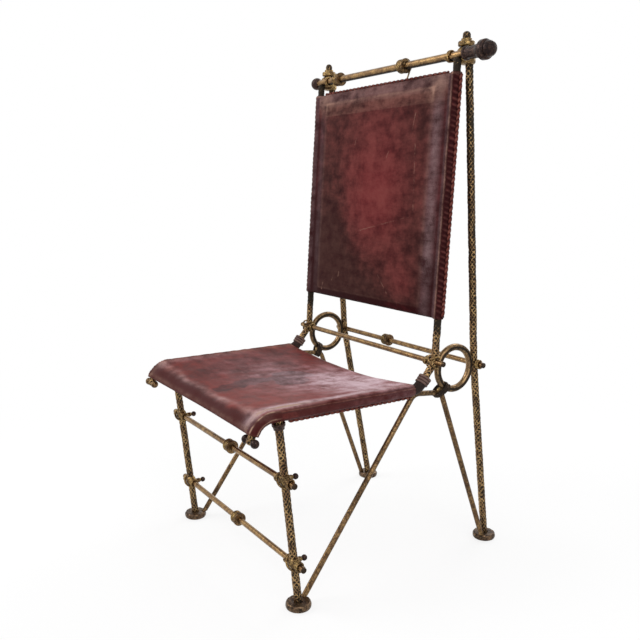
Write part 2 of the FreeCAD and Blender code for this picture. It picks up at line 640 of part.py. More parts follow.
# Ball: the plain end on the sitter's right, bored for the top bar.
ball_r = "dims.ball_d / 2"
ball_mouth = f"sqrt(({ball_r}) ^ 2 - ({top_bore_r}) ^ 2)"
ball_bore = "dims.top_bar_right - dims.ball_middle + dims.fit_gap"
ball_profile = [
    (top_bore_r, f"-{ball_mouth}"),
    (ball_r, "0", ball_r, 1),
    ("0", ball_r, ball_r, 1),
    ("0", ball_bore),
    (top_bore_r, ball_bore),
]
ball_spot = top_bar_middle - V(size("dims.ball_middle"), 0, 0)
ball_turn = FreeCAD.Rotation(V(0, 0, 1), V(-1, 0, 0))
keep(turned("top_ball_right", ball_profile, ball_spot, ball_turn), "top_ball_right")

# Knuckles: barrels on the upper ends of the rear posts, grooved for the top bar, that carry the finials.
knuckle_r = "dims.knuckle_d / 2"
knuckle_profile = [
    ("0", "0"),
    (f"{knuckle_r} - 5", "0"),
    (knuckle_r, "7", "8", 1),
    (knuckle_r, "dims.knuckle_len - 8"),
    (f"{knuckle_r} - 4", "dims.knuckle_len", "9", 1),
    ("0", "dims.knuckle_len"),
]
finial_shank_r = "dims.finial_shank_d / 2"
finial_bore = f"{finial_shank_r} + dims.fit_gap"
finial_hole = "2 * (dims.finial_shank_len + dims.fit_gap)"
for name, side in sides.items():
    spot = place(side, "dims.knuckle_setback", "dims.knuckle_h")
    barrel = turned(f"knuckle_barrel_{name}", knuckle_profile, spot)
    post_end = place(side, "dims.post_top_setback", "dims.post_top_h")
    socket = post_end + post_up * size("dims.fit_gap - dims.rod_d * 2")
    crown = place(side, "dims.finial_setback", "dims.collar_h")
    groove = top_bar_middle + V(side * size("dims.half_width"), 0, 0)
    drills = [
        bore(f"knuckle_post_drill_{name}", "dims.rod_bore_r", "dims.rod_d * 4", socket, post_up),
        bore(f"knuckle_bar_drill_{name}", top_bore_r, "dims.knuckle_d * 2", groove, V(1, 0, 0)),
        bore(f"knuckle_finial_drill_{name}", finial_bore, finial_hole, crown, V(0, 0, 1)),
    ]
    keep(cut(f"top_knuckle_{name}", barrel, drills), f"top_knuckle_{name}")

# Finials: domed pins on the knuckles, each with a stepped collar round its foot.
finial_len = "dims.height - dims.collar_h"
finial_profile = [
    ("0", "-dims.finial_shank_len"),
    (finial_shank_r, "-dims.finial_shank_len"),
    (finial_shank_r, "0"),
    ("dims.rod_r", "0"),
    ("dims.rod_r", f"{finial_len} - dims.rod_r"),
    ("0", finial_len, "dims.rod_r", 1),
]
collar_r = "dims.collar_d / 2"
collar_ring_r = "dims.collar_ring_d / 2"
collar_top = "dims.collar_thick + dims.collar_ring_thick"
collar_profile = [
    ("dims.rod_bore_r", "0"),
    (f"{collar_r} - 3", "0"),
    (collar_r, "3", "3", 1),
    (collar_r, "dims.collar_thick - 3"),
    (f"{collar_r} - 3", "dims.collar_thick", "3", 1),
    (collar_ring_r, "dims.collar_thick"),
    (collar_ring_r, collar_top),
    ("dims.rod_bore_r", collar_top),
]
for name, side in sides.items():
    spot = place(side, "dims.finial_setback", "dims.collar_h")
    keep(turned(f"finial_{name}", finial_profile, spot), f"finial_{name}")
    keep(turned(f"post_collar_{name}", collar_profile, spot), f"post_collar_{name}")

# Side rings: a ring with a groove round both faces, cut where it seats on the elbow and the rear post.
ring_half = "dims.ring_width / 2"
ring_inner_r = "dims.ring_outer_r - dims.ring_bar"
edge_r = "dims.ring_edge_r"
ring_middle = "dims.ring_outer_r - dims.ring_bar / 2"
groove_in = f"{ring_middle} - dims.ring_groove_half"
groove_out = f"{ring_middle} + dims.ring_groove_half"
groove_face = f"{ring_half} - dims.ring_groove_depth"
ring_profile = [
    (f"{ring_inner_r} + {edge_r}", f"-{ring_half}"),
    (groove_in, f"-{ring_half}"),
    (ring_middle, f"-({groove_face})"),
    (groove_out, f"-{ring_half}"),
    (f"dims.ring_outer_r - {edge_r}", f"-{ring_half}"),
    ("dims.ring_outer_r", f"-{ring_half} + {edge_r}", edge_r, 1),
    ("dims.ring_outer_r", f"{ring_half} - {edge_r}"),
    (f"dims.ring_outer_r - {edge_r}", ring_half, edge_r, 1),
    (groove_out, ring_half),
    (ring_middle, groove_face),
    (groove_in, ring_half),
    (f"{ring_inner_r} + {edge_r}", ring_half),
    (ring_inner_r, f"{ring_half} - {edge_r}", edge_r, 1),
    (ring_inner_r, f"-{ring_half} + {edge_r}"),
]
ring_profile[0] = (*ring_profile[0], edge_r, 1)
ring_cutters = ("rear_post", "side_rail", "rail_waist_drill", "post_drill")
for name, side in sides.items():
    spot = place(side, "dims.ring_setback", "dims.ring_h")
    ring = turned(f"ring_blank_{name}", ring_profile, spot, across)
    bars = [doc.getObject(f"{bar}_{name}") for bar in ring_cutters]
    keep(cut(f"side_ring_{name}", ring, bars), f"side_ring_{name}")

# Braces: one bar each from foot to foot, arched under the ring and cut level on the foot discs.
brace_line = [
    ("dims.brace_front_setback - 9", "dims.foot_h - 12.5"),
    ("dims.brace_rise_setback", "dims.brace_rise_h"),
    ("dims.brace_fall_setback", "dims.brace_fall_h"),
    ("dims.brace_rear_setback + 5", "dims.foot_h - 12.5"),
]
for name, side in sides.items():
    foremost = place(side, "0", "0", "dims.brace_half_width")
    bends = ["dims.brace_rise_r", "dims.brace_fall_r"]
    bar = bent_rod(f"brace_bar_{name}", "dims.bar_d", brace_line, bends, foremost)
    level = doc.addObject("Part::Box", f"brace_level_{name}")
    level.setExpression("Length", "dims.bar_d * 2")
    level.setExpression("Width", "dims.rear_foot_setback + dims.foot_d")
    level.setExpression("Height", "dims.foot_h * 2")
    corner = foremost - V(size("dims.bar_d"), 0, size("dims.foot_h"))
    level.Placement = FreeCAD.Placement(corner, FreeCAD.Rotation())
    keep(cut(f"brace_{name}", bar, [level]), f"brace_{name}")


# Wound collars: a flanged hub on its bar, with turns of wire that run up to the flange.
def hub_profile(bar_r, hub_d, flange_d):
    bore_r = f"{bar_r} + dims.fit_gap"
    shoulder = "dims.hub_length - dims.hub_flange_thick"
    return [
        (bore_r, "0"),
        (f"{hub_d} / 2", "0"),
        (f"{hub_d} / 2", shoulder),
        (f"{flange_d} / 2", shoulder),
        (f"{flange_d} / 2", "dims.hub_length - 1.5"),
        (f"{flange_d} / 2 - 1.5", "dims.hub_length"),
        (bore_r, "dims.hub_length"),
    ]


def wound_turns(label, spot, hub_d):
    wire = size("dims.wire_r")
    radius = size(f"{hub_d} / 2 + dims.fit_gap") + wire
    turns = coil(label, radius, size("dims.winding_pitch"), size("dims.winding_turns"), wire)
    return placed(turns, FreeCAD.Placement(spot, FreeCAD.Rotation()))


winding_start = V(-size("dims.winding_pitch * dims.winding_turns + dims.wire_r + 0.8"), 0, 0)
shoulder_back = V(size("dims.hub_flange_thick"), 0, 0)
small_hub = hub_profile("dims.bar_r", "dims.hub_d", "dims.hub_flange_d")
large_hub = hub_profile("dims.top_bar_r", "dims.top_hub_d", "dims.top_hub_flange_d")
hub_back = V(size("dims.hub_length"), 0, 0)
wound_places = {
    "upper_stretcher_collar": (stretcher_middle("upper"), "upper_collar_x", "dims.hub_d", small_hub),
    "lower_stretcher_collar": (stretcher_middle("lower"), "lower_collar_x", "dims.hub_d", small_hub),
    "waist_rail_collar": (waist_rear, "waist_collar_x", "dims.hub_d", small_hub),
    "top_bar_collar_left": (top_bar_middle, "top_collar_left_x", "dims.top_hub_d", large_hub),
    "top_bar_collar_right": (top_bar_middle, "top_collar_right_x", "dims.top_hub_d", large_hub),
}
windings = {}
for label, (middle, where, hub_d, profile) in wound_places.items():
    face = middle + V(size(f"dims.{where}"), 0, 0) + hub_back / 2
    keep(turned(label, profile, face - hub_back, across), label)
    windings[label] = wound_turns(label, face - shoulder_back + winding_start, hub_d)
stretcher_turns = [windings["upper_stretcher_collar"], windings["lower_stretcher_collar"]]
top_turns = [windings["top_bar_collar_left"], windings["top_bar_collar_right"]]
keep(group_of("stretcher_windings", stretcher_turns), "stretcher_windings")
keep(group_of("waist_rail_winding", [windings["waist_rail_collar"]]), "waist_rail_winding")
keep(group_of("top_bar_windings", top_turns), "top_bar_windings")


# Lashings: two crossed wire hooks round an upright where a bar goes through it, and coils on the bar.
def crossed_hooks(middle, axis, half_long, half_front, gap_half):
    # The second hook passes outside the first in front. Both are open behind.
    wire = size("dims.wire_r")
    front = V(0, -1, 0)
    front = (front - axis * front.dot(axis)).normalize()
    hooks = []
    for slant, extra in ((1, 0), (-1, 2 * wire + 0.5)):
        diagonal = (V(slant, 0, 0) + axis).normalize()
        placement = FreeCAD.Placement(middle, FreeCAD.Rotation(diagonal, V(0, 0, 0), front * -1, "XZY"))
        hook = open_oval(half_long, half_front + extra, wire, math.pi / 2, math.radians(gap_half))
        hooks.append(placed(hook, placement))
    return hooks


def bar_coil(label, middle, outward, bore_r="dims.bar_bore_r"):
    # A coil round a bar that starts beside the upright and runs outward.
    wire = size("dims.wire_r")
    turns = coil(label, size(bore_r) + wire, wire * 2 + 0.6, size("dims.coil_turns"), wire)
    turn = FreeCAD.Rotation(V(0, 0, 1), 0 if outward > 0 else 180)
    return placed(turns, FreeCAD.Placement(middle + V(outward * size("dims.coil_start"), 0, 0), turn))


hook_front = size("dims.rod_bore_r + dims.wire_r")
hook_long = hook_front * math.sqrt(2) + 0.8
joint_wires = []
for name, side in sides.items():
    for level in ("upper", "lower"):
        joint = stretcher_middle(level) + V(side * size("dims.half_width"), 0, 0)
        joint_wires += crossed_hooks(joint, leg_up, hook_long, hook_front, 48)
        joint_wires.append(bar_coil(f"{level}_{name}_outer_coil", joint, side))
        joint_wires.append(bar_coil(f"{level}_{name}_inner_coil", joint, -side))
keep(group_of("stretcher_lashings", joint_wires), "stretcher_lashings")

elbow_axis = (upright + slope_up).normalize()
elbow_wires = []
for name, side in sides.items():
    joint = waist_front + V(side * size("dims.half_width"), 0, 0)
    elbow_wires += crossed_hooks(joint, elbow_axis, hook_long + 1.2, hook_front + 1.2, 72)
    elbow_wires.append(bar_coil(f"elbow_{name}_coil", joint, -side))
keep(group_of("elbow_lashings", elbow_wires), "elbow_lashings")

waist_wires = []
for name, side in sides.items():
    joint = waist_rear + V(side * size("dims.half_width"), 0, 0)
    waist_wires.append(bar_coil(f"waist_{name}_coil", joint + V(side * -5, 0, 0), side))
keep(group_of("waist_rail_coils", waist_wires), "waist_rail_coils")

# Top lashings: coils on the top bar beside the knuckles.
top_wires = []
for name, side in sides.items():
    joint = top_bar_middle + V(side * size("dims.half_width - 6"), 0, 0)
    top_wires.append(bar_coil(f"top_{name}_coil", joint, -side, top_bore_r))
keep(group_of("top_lashings", top_wires), "top_lashings")

# Brace ties: a wire hook round each ring and its brace.
tie_wires = []
wire_r = size("dims.wire_r")
tie_brace_setback = "dims.brace_fall_setback - 12"
tie_brace_h = "dims.brace_fall_h + 0.6"
ring_middle_r = size("dims.ring_outer_r - dims.ring_bar / 2")
for name, side in sides.items():
    low = place(side, tie_brace_setback, tie_brace_h, "dims.brace_half_width")
    ring_spot = place(side, "dims.ring_setback", "dims.ring_h")
    outward = V(0, low.y - ring_spot.y, low.z - ring_spot.z).normalize()
    high = ring_spot + outward * ring_middle_r
    reach = high - low
    half_long = reach.Length / 2 + size("dims.ring_bar / 2") + wire_r + 2.2
    along = V(0, 1, -0.3)
    placement = FreeCAD.Placement((low + high) / 2, FreeCAD.Rotation(reach, along, V(0, 0, 0), "XYZ"))
    tie = open_oval(half_long, size("dims.ring_bar / 2") + wire_r + 3.9, wire_r, math.pi, math.radians(20))
    tie_wires.append(placed(tie, placement))
keep(group_of("brace_ties", tie_wires), "brace_ties")

# Stubs: ball-ended pegs seated in the stretchers, behind the legs and just inside them.
stub_r = "dims.stub_d / 2"
stub_ball_r = "dims.stub_ball_d / 2"
stub_root = f"dims.stub_reach - sqrt(({stub_ball_r}) ^ 2 - ({stub_r}) ^ 2)"
stub_foot = "dims.stub_seat + dims.fit_gap"
stub_profile = [
    ("0", stub_foot),
    (stub_r, stub_foot),
    (stub_r, stub_root),
    (stub_ball_r, "dims.stub_reach", stub_ball_r, 1),
    ("0", f"dims.stub_reach + {stub_ball_r}", stub_ball_r, 1),
]
for name, side in sides.items():
    for level in ("upper", "lower"):
        spot = stretcher_middle(level) + V(side * size("dims.half_width - dims.stub_in"), 0, 0)
        keep(turned(f"peg_{level}_{name}", stub_profile, spot, rearward), f"peg_{level}_{name}")

# Nose pegs: a shank through the front end of each seat rail with a ball on either side.
shank_r = "dims.peg_shank_d / 2"
nose_ball_r = "dims.nose_ball_d / 2"
ball_root = f"sqrt(({nose_ball_r}) ^ 2 - ({shank_r}) ^ 2)"
nose_profile = [
    ("0", f"-dims.nose_ball_middle - {nose_ball_r}"),
    (nose_ball_r, "-dims.nose_ball_middle", nose_ball_r, 1),
    (shank_r, f"-dims.nose_ball_middle + {ball_root}", nose_ball_r, 1),
    (shank_r, f"dims.nose_ball_middle - {ball_root}"),
    (nose_ball_r, "dims.nose_ball_middle", nose_ball_r, 1),
    ("0", f"dims.nose_ball_middle + {nose_ball_r}", nose_ball_r, 1),
]
for name, side in sides.items():
    piece = turned(f"nose_peg_{name}", nose_profile, place(side, nose_spot, nose_spot_h), across)
    keep(piece, f"nose_peg_{name}")

# Leg collars: flared collars under the seat leather.
leg_collar_profile = [
    ("dims.rod_bore_r", "0"),
    ("dims.rod_bore_r + 2", "0"),
    ("dims.leg_collar_d / 2", "dims.leg_collar_len - 5", "14", -1),
    ("dims.leg_collar_d / 2", "dims.leg_collar_len"),
    ("dims.rod_bore_r", "dims.leg_collar_len"),
]
collar_drop = size("dims.sleeve_r + dims.leg_collar_len + 2.2")
for name, side in sides.items():
    spot = place(side, "dims.leg_top_setback", "dims.seat_rail_h") - leg_up * collar_drop
    keep(turned(f"leg_collar_{name}", leg_collar_profile, spot, leg_turn), f"leg_collar_{name}")

# Seat: a sagging sheet and its two sleeves, swept forward along the rails and over their front bends.
seat_spot = V(middle_x, size("dims.front_y + dims.seat_rear_setback"), size("dims.seat_rail_h"))
seat = new_body("seat_sling", seat_spot)
seat_path = new_sketch(seat, "YZ_Plane", "seat_path")
seat_line = seat_path.addGeometry(Part.LineSegment(V(0, 0, 0), V(-size("dims.seat_run"), 0, 0)))
seat_path.addConstraint(Sketcher.Constraint("Coincident", seat_line, 1, -1, 1))
pin_point(seat_path, seat_line, 2, "-dims.seat_run", "0")
nose = Part.Circle(V(-size("dims.seat_run"), -size("dims.nose_r"), 0), V(0, 0, 1), size("dims.nose_r"))
nose_end = math.pi / 2 + math.radians(size("dims.seat_front_turn"))
seat_nose = seat_path.addGeometry(Part.ArcOfCircle(nose, math.pi / 2, nose_end))
seat_path.addConstraint(Sketcher.Constraint("Tangent", seat_line, 2, seat_nose, 1))
bind(seat_path, "dims.nose_r", "Radius", seat_nose)
hem_setback = "-dims.seat_run - dims.nose_r * sin(dims.seat_front_turn * 1 deg)"
bind(seat_path, hem_setback, "DistanceX", -1, 1, seat_nose, 2)

half_w = "dims.half_width"
sleeve_r = "dims.sleeve_r"
sheet_drop = f"{sleeve_r} - dims.sheet_t - 1.6"
sheet_in = f"{half_w} - sqrt(({sleeve_r}) ^ 2 - ({sheet_drop}) ^ 2)"
top_sag_r = f"(({half_w}) ^ 2 + dims.seat_sag ^ 2) / (2 * dims.seat_sag)"
under_sag = "(dims.seat_sag - 1.6)"
under_sag_r = f"(({sheet_in}) ^ 2 + {under_sag} ^ 2) / (2 * {under_sag})"
seat_outline = [
    (half_w, sleeve_r, top_sag_r, 1),
    (f"{half_w} + {sleeve_r}", "0", sleeve_r, -1),
    (half_w, f"-{sleeve_r}", sleeve_r, -1),
    (sheet_in, sheet_drop, sleeve_r, -1),
    (f"-({sheet_in})", sheet_drop, under_sag_r, -1),
    (f"-{half_w}", f"-{sleeve_r}", sleeve_r, -1),
    (f"-{half_w} - {sleeve_r}", "0", sleeve_r, -1),
    (f"-{half_w}", sleeve_r, sleeve_r, -1),
]
seat_section = new_sketch(seat, "XZ_Plane", "seat_section")
draw_outline(seat_section, seat_outline)
doc.recompute()
seat_sweep = seat.newObject("PartDesign::AdditivePipe", "seat_sweep")
seat_sweep.Profile = seat_section
seat_sweep.Spine = (seat_path, ["Edge1", "Edge2"])
doc.recompute()
for name, side in sides.items():
    hole = new_sketch(seat, "XZ_Plane", f"sleeve_hole_{name}")
    draw_circle(hole, half_w if side > 0 else f"-{half_w}", "0", "dims.rod_bore_r")
    doc.recompute()
    sleeve = seat.newObject("PartDesign::SubtractivePipe", f"sleeve_bore_{name}")
    sleeve.Profile = hole
    sleeve.Spine = (seat_path, ["Edge1", "Edge2"])
    doc.recompute()
leg_holes = []
for name, side in sides.items():
    under = place(side, "dims.leg_top_setback", "dims.seat_rail_h") - leg_up * size("dims.rod_d")
    leg_holes.append(bore(f"seat_leg_hole_{name}", "dims.rod_r + 0.6", "dims.rod_d * 2 - 1", under, leg_up))
keep(cut("leather_seat", seat, leg_holes), "leather_seat")

# Back: an envelope of leather over the two uprights, padded to a flat crown with sloping borders.
back_turn = FreeCAD.Rotation(V(0, 0, 1), upright)


def back_spot(side, along):
    # A point on the axis of an upright, measured up from the lower edge of the leather back.
    setback = "dims.elbow_setback + dims.rail_lean * (dims.back_bottom_h - dims.elbow_h)"
    return place(side, setback, "dims.back_bottom_h") + upright * along


back = new_body("leather_back", back_spot(0, 0), back_turn)
back_section = new_sketch(back, "XY_Plane", "back_section")
seam_in = f"{half_w} - sqrt({sleeve_r} ^ 2 - (dims.back_seam_y + 1) ^ 2)"
seam_y = "dims.back_seam_y"
back_outline = [
    ("dims.back_plateau", "-dims.back_crown"),
    ("dims.back_seam_x", f"-{seam_y}"),
    (seam_in, f"-{seam_y} - 1"),
    (f"{half_w} + {sleeve_r}", "0", sleeve_r, 1),
    (seam_in, f"{seam_y} + 1", sleeve_r, 1),
    ("dims.back_seam_x", "dims.back_rear"),
    ("-dims.back_seam_x", "dims.back_rear"),
    (f"-({seam_in})", f"{seam_y} + 1"),
    (f"-{half_w} - {sleeve_r}", "0", sleeve_r, 1),
    (f"-({seam_in})", f"-{seam_y} - 1", sleeve_r, 1),
    ("-dims.back_seam_x", f"-{seam_y}"),
    ("-dims.back_plateau", "-dims.back_crown"),
]
draw_outline(back_section, back_outline)
draw_circle(back_section, half_w, "0", "dims.rod_bore_r")
draw_circle(back_section, f"-{half_w}", "0", "dims.rod_bore_r")
doc.recompute()
back_pad = back.newObject("PartDesign::Pad", "back_pad")
back_pad.Profile = back_section
back_pad.Length = size("dims.back_len")
back_pad.setExpression("Length", "dims.back_len")
doc.recompute()
border_face = "-dims.back_crown + dims.back_border_drop"
border_out = "-dims.back_crown - 2"
lower_border = [
    (border_out, "0"),
    (border_face, "0"),
    ("-dims.back_crown", "dims.back_border"),
    (border_out, "dims.back_border"),
]
upper_border = [(u, f"dims.back_len - ({v})") for u, v in lower_border]
border_outline = new_sketch(back, "YZ_Plane", "back_border_outline")
draw_outline(border_outline, lower_border)
draw_outline(border_outline, upper_border)
doc.recompute()
border = back.newObject("PartDesign::Pocket", "back_border")
border.Profile = border_outline
border.Midplane = True
border.Length = size("2 * dims.back_seam_x")
border.setExpression("Length", "2 * dims.back_seam_x")
doc.recompute()
keep(back, "leather_back")

# Leather wraps on the slopes of the side rails.
wrap_r = "dims.wrap_d / 2"
wrap_profile = [
    ("dims.rod_bore_r", "0"),
    (f"{wrap_r} - 3", "0"),
    (wrap_r, "3", "3", 1),
    (wrap_r, "dims.wrap_len - 3"),
    (f"{wrap_r} - 3", "dims.wrap_len", "3", 1),
    ("dims.rod_bore_r", "dims.wrap_len"),
]
slope_turn = size("dims.slope_r") * math.tan(V(0, 1, 0).getAngle(slope_up) / 2)
for name, side in sides.items():
    spot = place(side, "dims.slope_setback", "dims.seat_rail_h") + slope_up * slope_turn
    piece = turned(f"rail_wrap_{name}", wrap_profile, spot, FreeCAD.Rotation(V(0, 0, 1), slope_up))
    keep(piece, f"rail_wrap_{name}")

# Lacing: thongs along the side and top edges of the back and under the seat rails.
lace_r = "dims.lace_d / 2"
lace_out = size(f"{sleeve_r} + dims.fit_gap + {lace_r}")
for name, side in sides.items():
    spot = back_spot(side, size("dims.back_len / 2")) + V(side * lace_out, 0, 0)
    piece = straight_bar(f"back_lacing_{name}", lace_r, "dims.back_len - 6", spot, back_turn)
    keep(piece, f"back_lacing_{name}")
    under = place(side, "(dims.seat_rear_setback + dims.seat_lace_front) / 2", "dims.seat_rail_h")
    under -= V(0, 0, lace_out)
    length = "dims.seat_rear_setback - dims.seat_lace_front - 6"
    keep(straight_bar(f"seat_lacing_{name}", lace_r, length, under, rearward), f"seat_lacing_{name}")
top_edge = back_spot(0, size(f"dims.back_len + {lace_r}"))
keep(straight_bar("back_lacing_top", lace_r, "2 * dims.back_seam_x - 8", top_edge, across), "back_lacing_top")

# Hook: a wire from the top bar down to the lacing of the back.
hook_top = top_bar_middle + V(size("dims.hook_x"), 0, 0)
hook_ring = size("dims.top_bar_r + dims.fit_gap + dims.hook_d / 2")
hook_foot_r = size(f"{lace_r} + dims.fit_gap + dims.hook_d / 2")


def hook_arc(middle, radius, first, last):
    # Part of a circle in the plane across the bar, angles from the rear towards the top.
    def at(angle):
        return middle + V(0, radius * math.cos(angle), radius * math.sin(angle))

    half = (first + last) / 2
    return Part.Arc(at(first), at(half), at(last)).toShape()


lace_middle = V(hook_top.x, top_edge.y, top_edge.z)
run = lace_middle - hook_top
swing = math.atan2(run.z, run.y) - math.asin((hook_ring - hook_foot_r) / run.Length) + math.pi / 2
hook_edges = [hook_arc(hook_top, hook_ring, swing + math.pi * 1.1, swing + math.pi * 0.5)]
hook_edges.append(hook_arc(hook_top, hook_ring, swing + math.pi * 0.5, swing))
leave = hook_edges[-1].valueAt(hook_edges[-1].LastParameter)
foot_start = lace_middle + V(0, hook_foot_r * math.cos(swing), hook_foot_r * math.sin(swing))
hook_edges.append(Part.LineSegment(leave, foot_start).toShape())
keep(group_of("back_hook", [tube(hook_edges, size("dims.hook_d / 2"))]), "back_hook")

doc.recompute()
for piece in doc.Objects:
    faults = [word for word in piece.State if word in ("Invalid", "Error")]
    assert not faults, f"{piece.Label}: {faults}"
os.makedirs("parts", exist_ok=True)
for piece in nodes:
    shape = piece.Shape
    assert not shape.isNull() and shape.isValid(), piece.Label
    assert shape.Solids, piece.Label
    shape.exportStep(f"parts/{piece.Label}.step")
print(f"{len(nodes)} pieces")
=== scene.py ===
import json
import math
import bmesh
import bpy
import numpy as np
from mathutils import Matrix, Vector


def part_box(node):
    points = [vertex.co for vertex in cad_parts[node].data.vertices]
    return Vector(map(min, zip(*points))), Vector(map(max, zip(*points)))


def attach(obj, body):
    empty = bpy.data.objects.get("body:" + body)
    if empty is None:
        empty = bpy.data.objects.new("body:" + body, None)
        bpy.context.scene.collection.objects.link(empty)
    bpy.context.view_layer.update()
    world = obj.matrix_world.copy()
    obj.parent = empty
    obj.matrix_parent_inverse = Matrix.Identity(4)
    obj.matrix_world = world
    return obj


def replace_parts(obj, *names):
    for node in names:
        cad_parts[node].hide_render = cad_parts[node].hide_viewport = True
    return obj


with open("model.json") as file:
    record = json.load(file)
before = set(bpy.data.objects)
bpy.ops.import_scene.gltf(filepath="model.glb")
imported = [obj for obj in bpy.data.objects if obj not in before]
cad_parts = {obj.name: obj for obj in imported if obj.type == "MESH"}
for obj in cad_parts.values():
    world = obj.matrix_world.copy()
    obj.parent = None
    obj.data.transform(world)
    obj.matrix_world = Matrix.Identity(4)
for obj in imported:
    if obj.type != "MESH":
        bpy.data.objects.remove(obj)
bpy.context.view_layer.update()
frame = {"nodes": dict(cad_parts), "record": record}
nodes = frame["nodes"]
print("frame loaded,", len(nodes), "nodes")


class Look(dict):
    # a dictionary of values to change, read as look.key
    __getattr__ = dict.__getitem__


# the chair's own measures in metres: setbacks run from the front of the seat rails, heights from the floor
chair = Look(
    half=0.265, rearHalf=0.245, frontFoot=0.1165, rearFoot=0.678, legFoot=0.1175, legTop=0.0705, seat=0.427,
    slope=0.431, slopeBend=0.030, elbow=(0.479, 0.483), railTop=(0.521, 1.146))
sides = (("left", 1), ("right", -1))
acrossX = np.array([1.0, 0, 0])

# where the chair stands: the middle plane and the front come from the front feet
leftFoot = np.array(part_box("foot_front_left"))
rightFoot = np.array(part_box("foot_front_right"))
midX = float((leftFoot + rightFoot)[:, 0].mean() / 2)
frontY = float(leftFoot[:, 1].mean()) - chair.frontFoot


def spot(side, setback, height, half=chair.half):
    return np.array([midX + side * half, frontY + setback, height])


def unit(vector):
    return vector / np.linalg.norm(vector)


def hill(value, middle, width):
    # a bell: 1 at the middle, about a third at one width from it
    return np.exp(-((value - middle) / width) ** 2)


def ramp(value, span, start=0):
    # 0 up to the start, 1 from one span beyond it, straight between
    return np.clip((value - start) / span, 0, 1)


def turns(count):
    return np.linspace(0, 2 * np.pi, count, endpoint=False)


# surfaces
weldGap = 2e-6  # points of a grid that lie closer than this become one


def addSurface(name, points, finish, closed=True, uv=None, marks=None):
    # quads over a grid of points (rows, cols, 3), the last column joined to the first where it is closed
    rows, cols = points.shape[:2]
    spans = cols if closed else cols - 1
    row, col = np.meshgrid(np.arange(rows - 1), np.arange(spans), indexing="ij")
    corners = [(row, col), (row, col + 1), (row + 1, col + 1), (row + 1, col)]
    quads = np.stack([r * cols + c % cols for r, c in corners], -1).reshape(-1, 4)
    mesh = bpy.data.meshes.new(name)
    mesh.vertices.add(rows * cols)
    mesh.vertices.foreach_set("co", points.reshape(-1).astype(np.float32))
    mesh.loops.add(quads.size)
    mesh.loops.foreach_set("vertex_index", quads.reshape(-1).astype(np.int32))
    mesh.polygons.add(len(quads))
    mesh.polygons.foreach_set("loop_start", np.arange(0, quads.size, 4, dtype=np.int32))
    mesh.update(calc_edges=True)
    mesh.polygons.foreach_set("use_smooth", np.ones(len(quads), dtype=bool))
    for mark, value in (marks or {}).items():
        layer = mesh.attributes.new(mark, "FLOAT", "POINT")
        layer.data.foreach_set("value", np.broadcast_to(value, (rows, cols)).reshape(-1).astype(np.float32))
    if uv is not None:  # uv has one column more than the points where the grid is closed
        flat = np.stack([uv[r, c] for r, c in corners], 2).reshape(-1, 2)
        mesh.uv_layers.new(name="cut").data.foreach_set("uv", flat.reshape(-1).astype(np.float32))
    work = bmesh.new()
    work.from_mesh(mesh)
    bmesh.ops.remove_doubles(work, verts=work.verts, dist=weldGap)
    if closed:
        bmesh.ops.recalc_face_normals(work, faces=work.faces)
    work.to_mesh(mesh)
    work.free()
    piece = bpy.data.objects.new(name, mesh)
    bpy.context.scene.collection.objects.link(piece)
    mesh.materials.append(finish)
    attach(piece, "root")
    return piece


def bentPath(corners, radii, step):
    # points and headings along straight runs that are joined by tangent arcs
    points, headings = [], []
    start = corners[0]
    for number, radius in enumerate(radii, 1):
        before = unit(corners[number] - corners[number - 1])
        after = unit(corners[number + 1] - corners[number])
        turn = math.acos(before @ after)
        leave = corners[number] - before * radius * math.tan(turn / 2)
        share = np.arange(0, np.linalg.norm(leave - start), step)[:, None]
        points.append(start + before * share)
        headings.append(np.repeat(before[None], len(share), 0))
        inward = unit(after - before * (before @ after))
        angle = np.linspace(0, turn, max(4, int(radius * turn / step)), endpoint=False)[:, None]
        points.append(leave + radius * (np.sin(angle) * before + (1 - np.cos(angle)) * inward))
        headings.append(np.cos(angle) * before + np.sin(angle) * inward)
        start = leave + radius * (math.sin(turn) * before + (1 - math.cos(turn)) * inward)
    last = unit(corners[-1] - start)
    length = np.linalg.norm(corners[-1] - start)
    share = np.linspace(0, length, max(3, int(length / step)))
    points.append(start + last * share[:, None])
    headings.append(np.repeat(last[None], len(share), 0))
    return np.vstack(points), np.vstack(headings)


def sweep(points, headings, across, radius, angle):
    # a round section of the given radius (rows, cols) carried along a path, across is square to the headings
    across = np.broadcast_to(across, headings.shape)
    third = np.cross(headings, across)
    ring = np.cos(angle)[None, :, None] * across[:, None, :] + np.sin(angle)[None, :, None] * third[:, None, :]
    return points[:, None, :] + radius[..., None] * ring


def runLength(points):
    return np.hstack([[0], np.cumsum(np.linalg.norm(np.diff(points, axis=0), axis=1))])


def waves(u, v, seed, count, low, high, height=1.0):
    # an uneven surface, about -height to height: a seeded sum of sines of many directions, low to high in length
    draw = np.random.default_rng(seed)
    heading = draw.uniform(0, 2 * np.pi, count)
    length = draw.uniform(low, high, count)
    phase = draw.uniform(0, 2 * np.pi, count)
    number = 2 * np.pi / length
    share = length / length.sum()
    total = np.zeros(np.broadcast(u, v).shape)
    for ku, kv, shift, part in zip(number * np.cos(heading), number * np.sin(heading), phase, share):
        total += part * np.sin(ku * u + kv * v + shift)
    return total * 2 * height


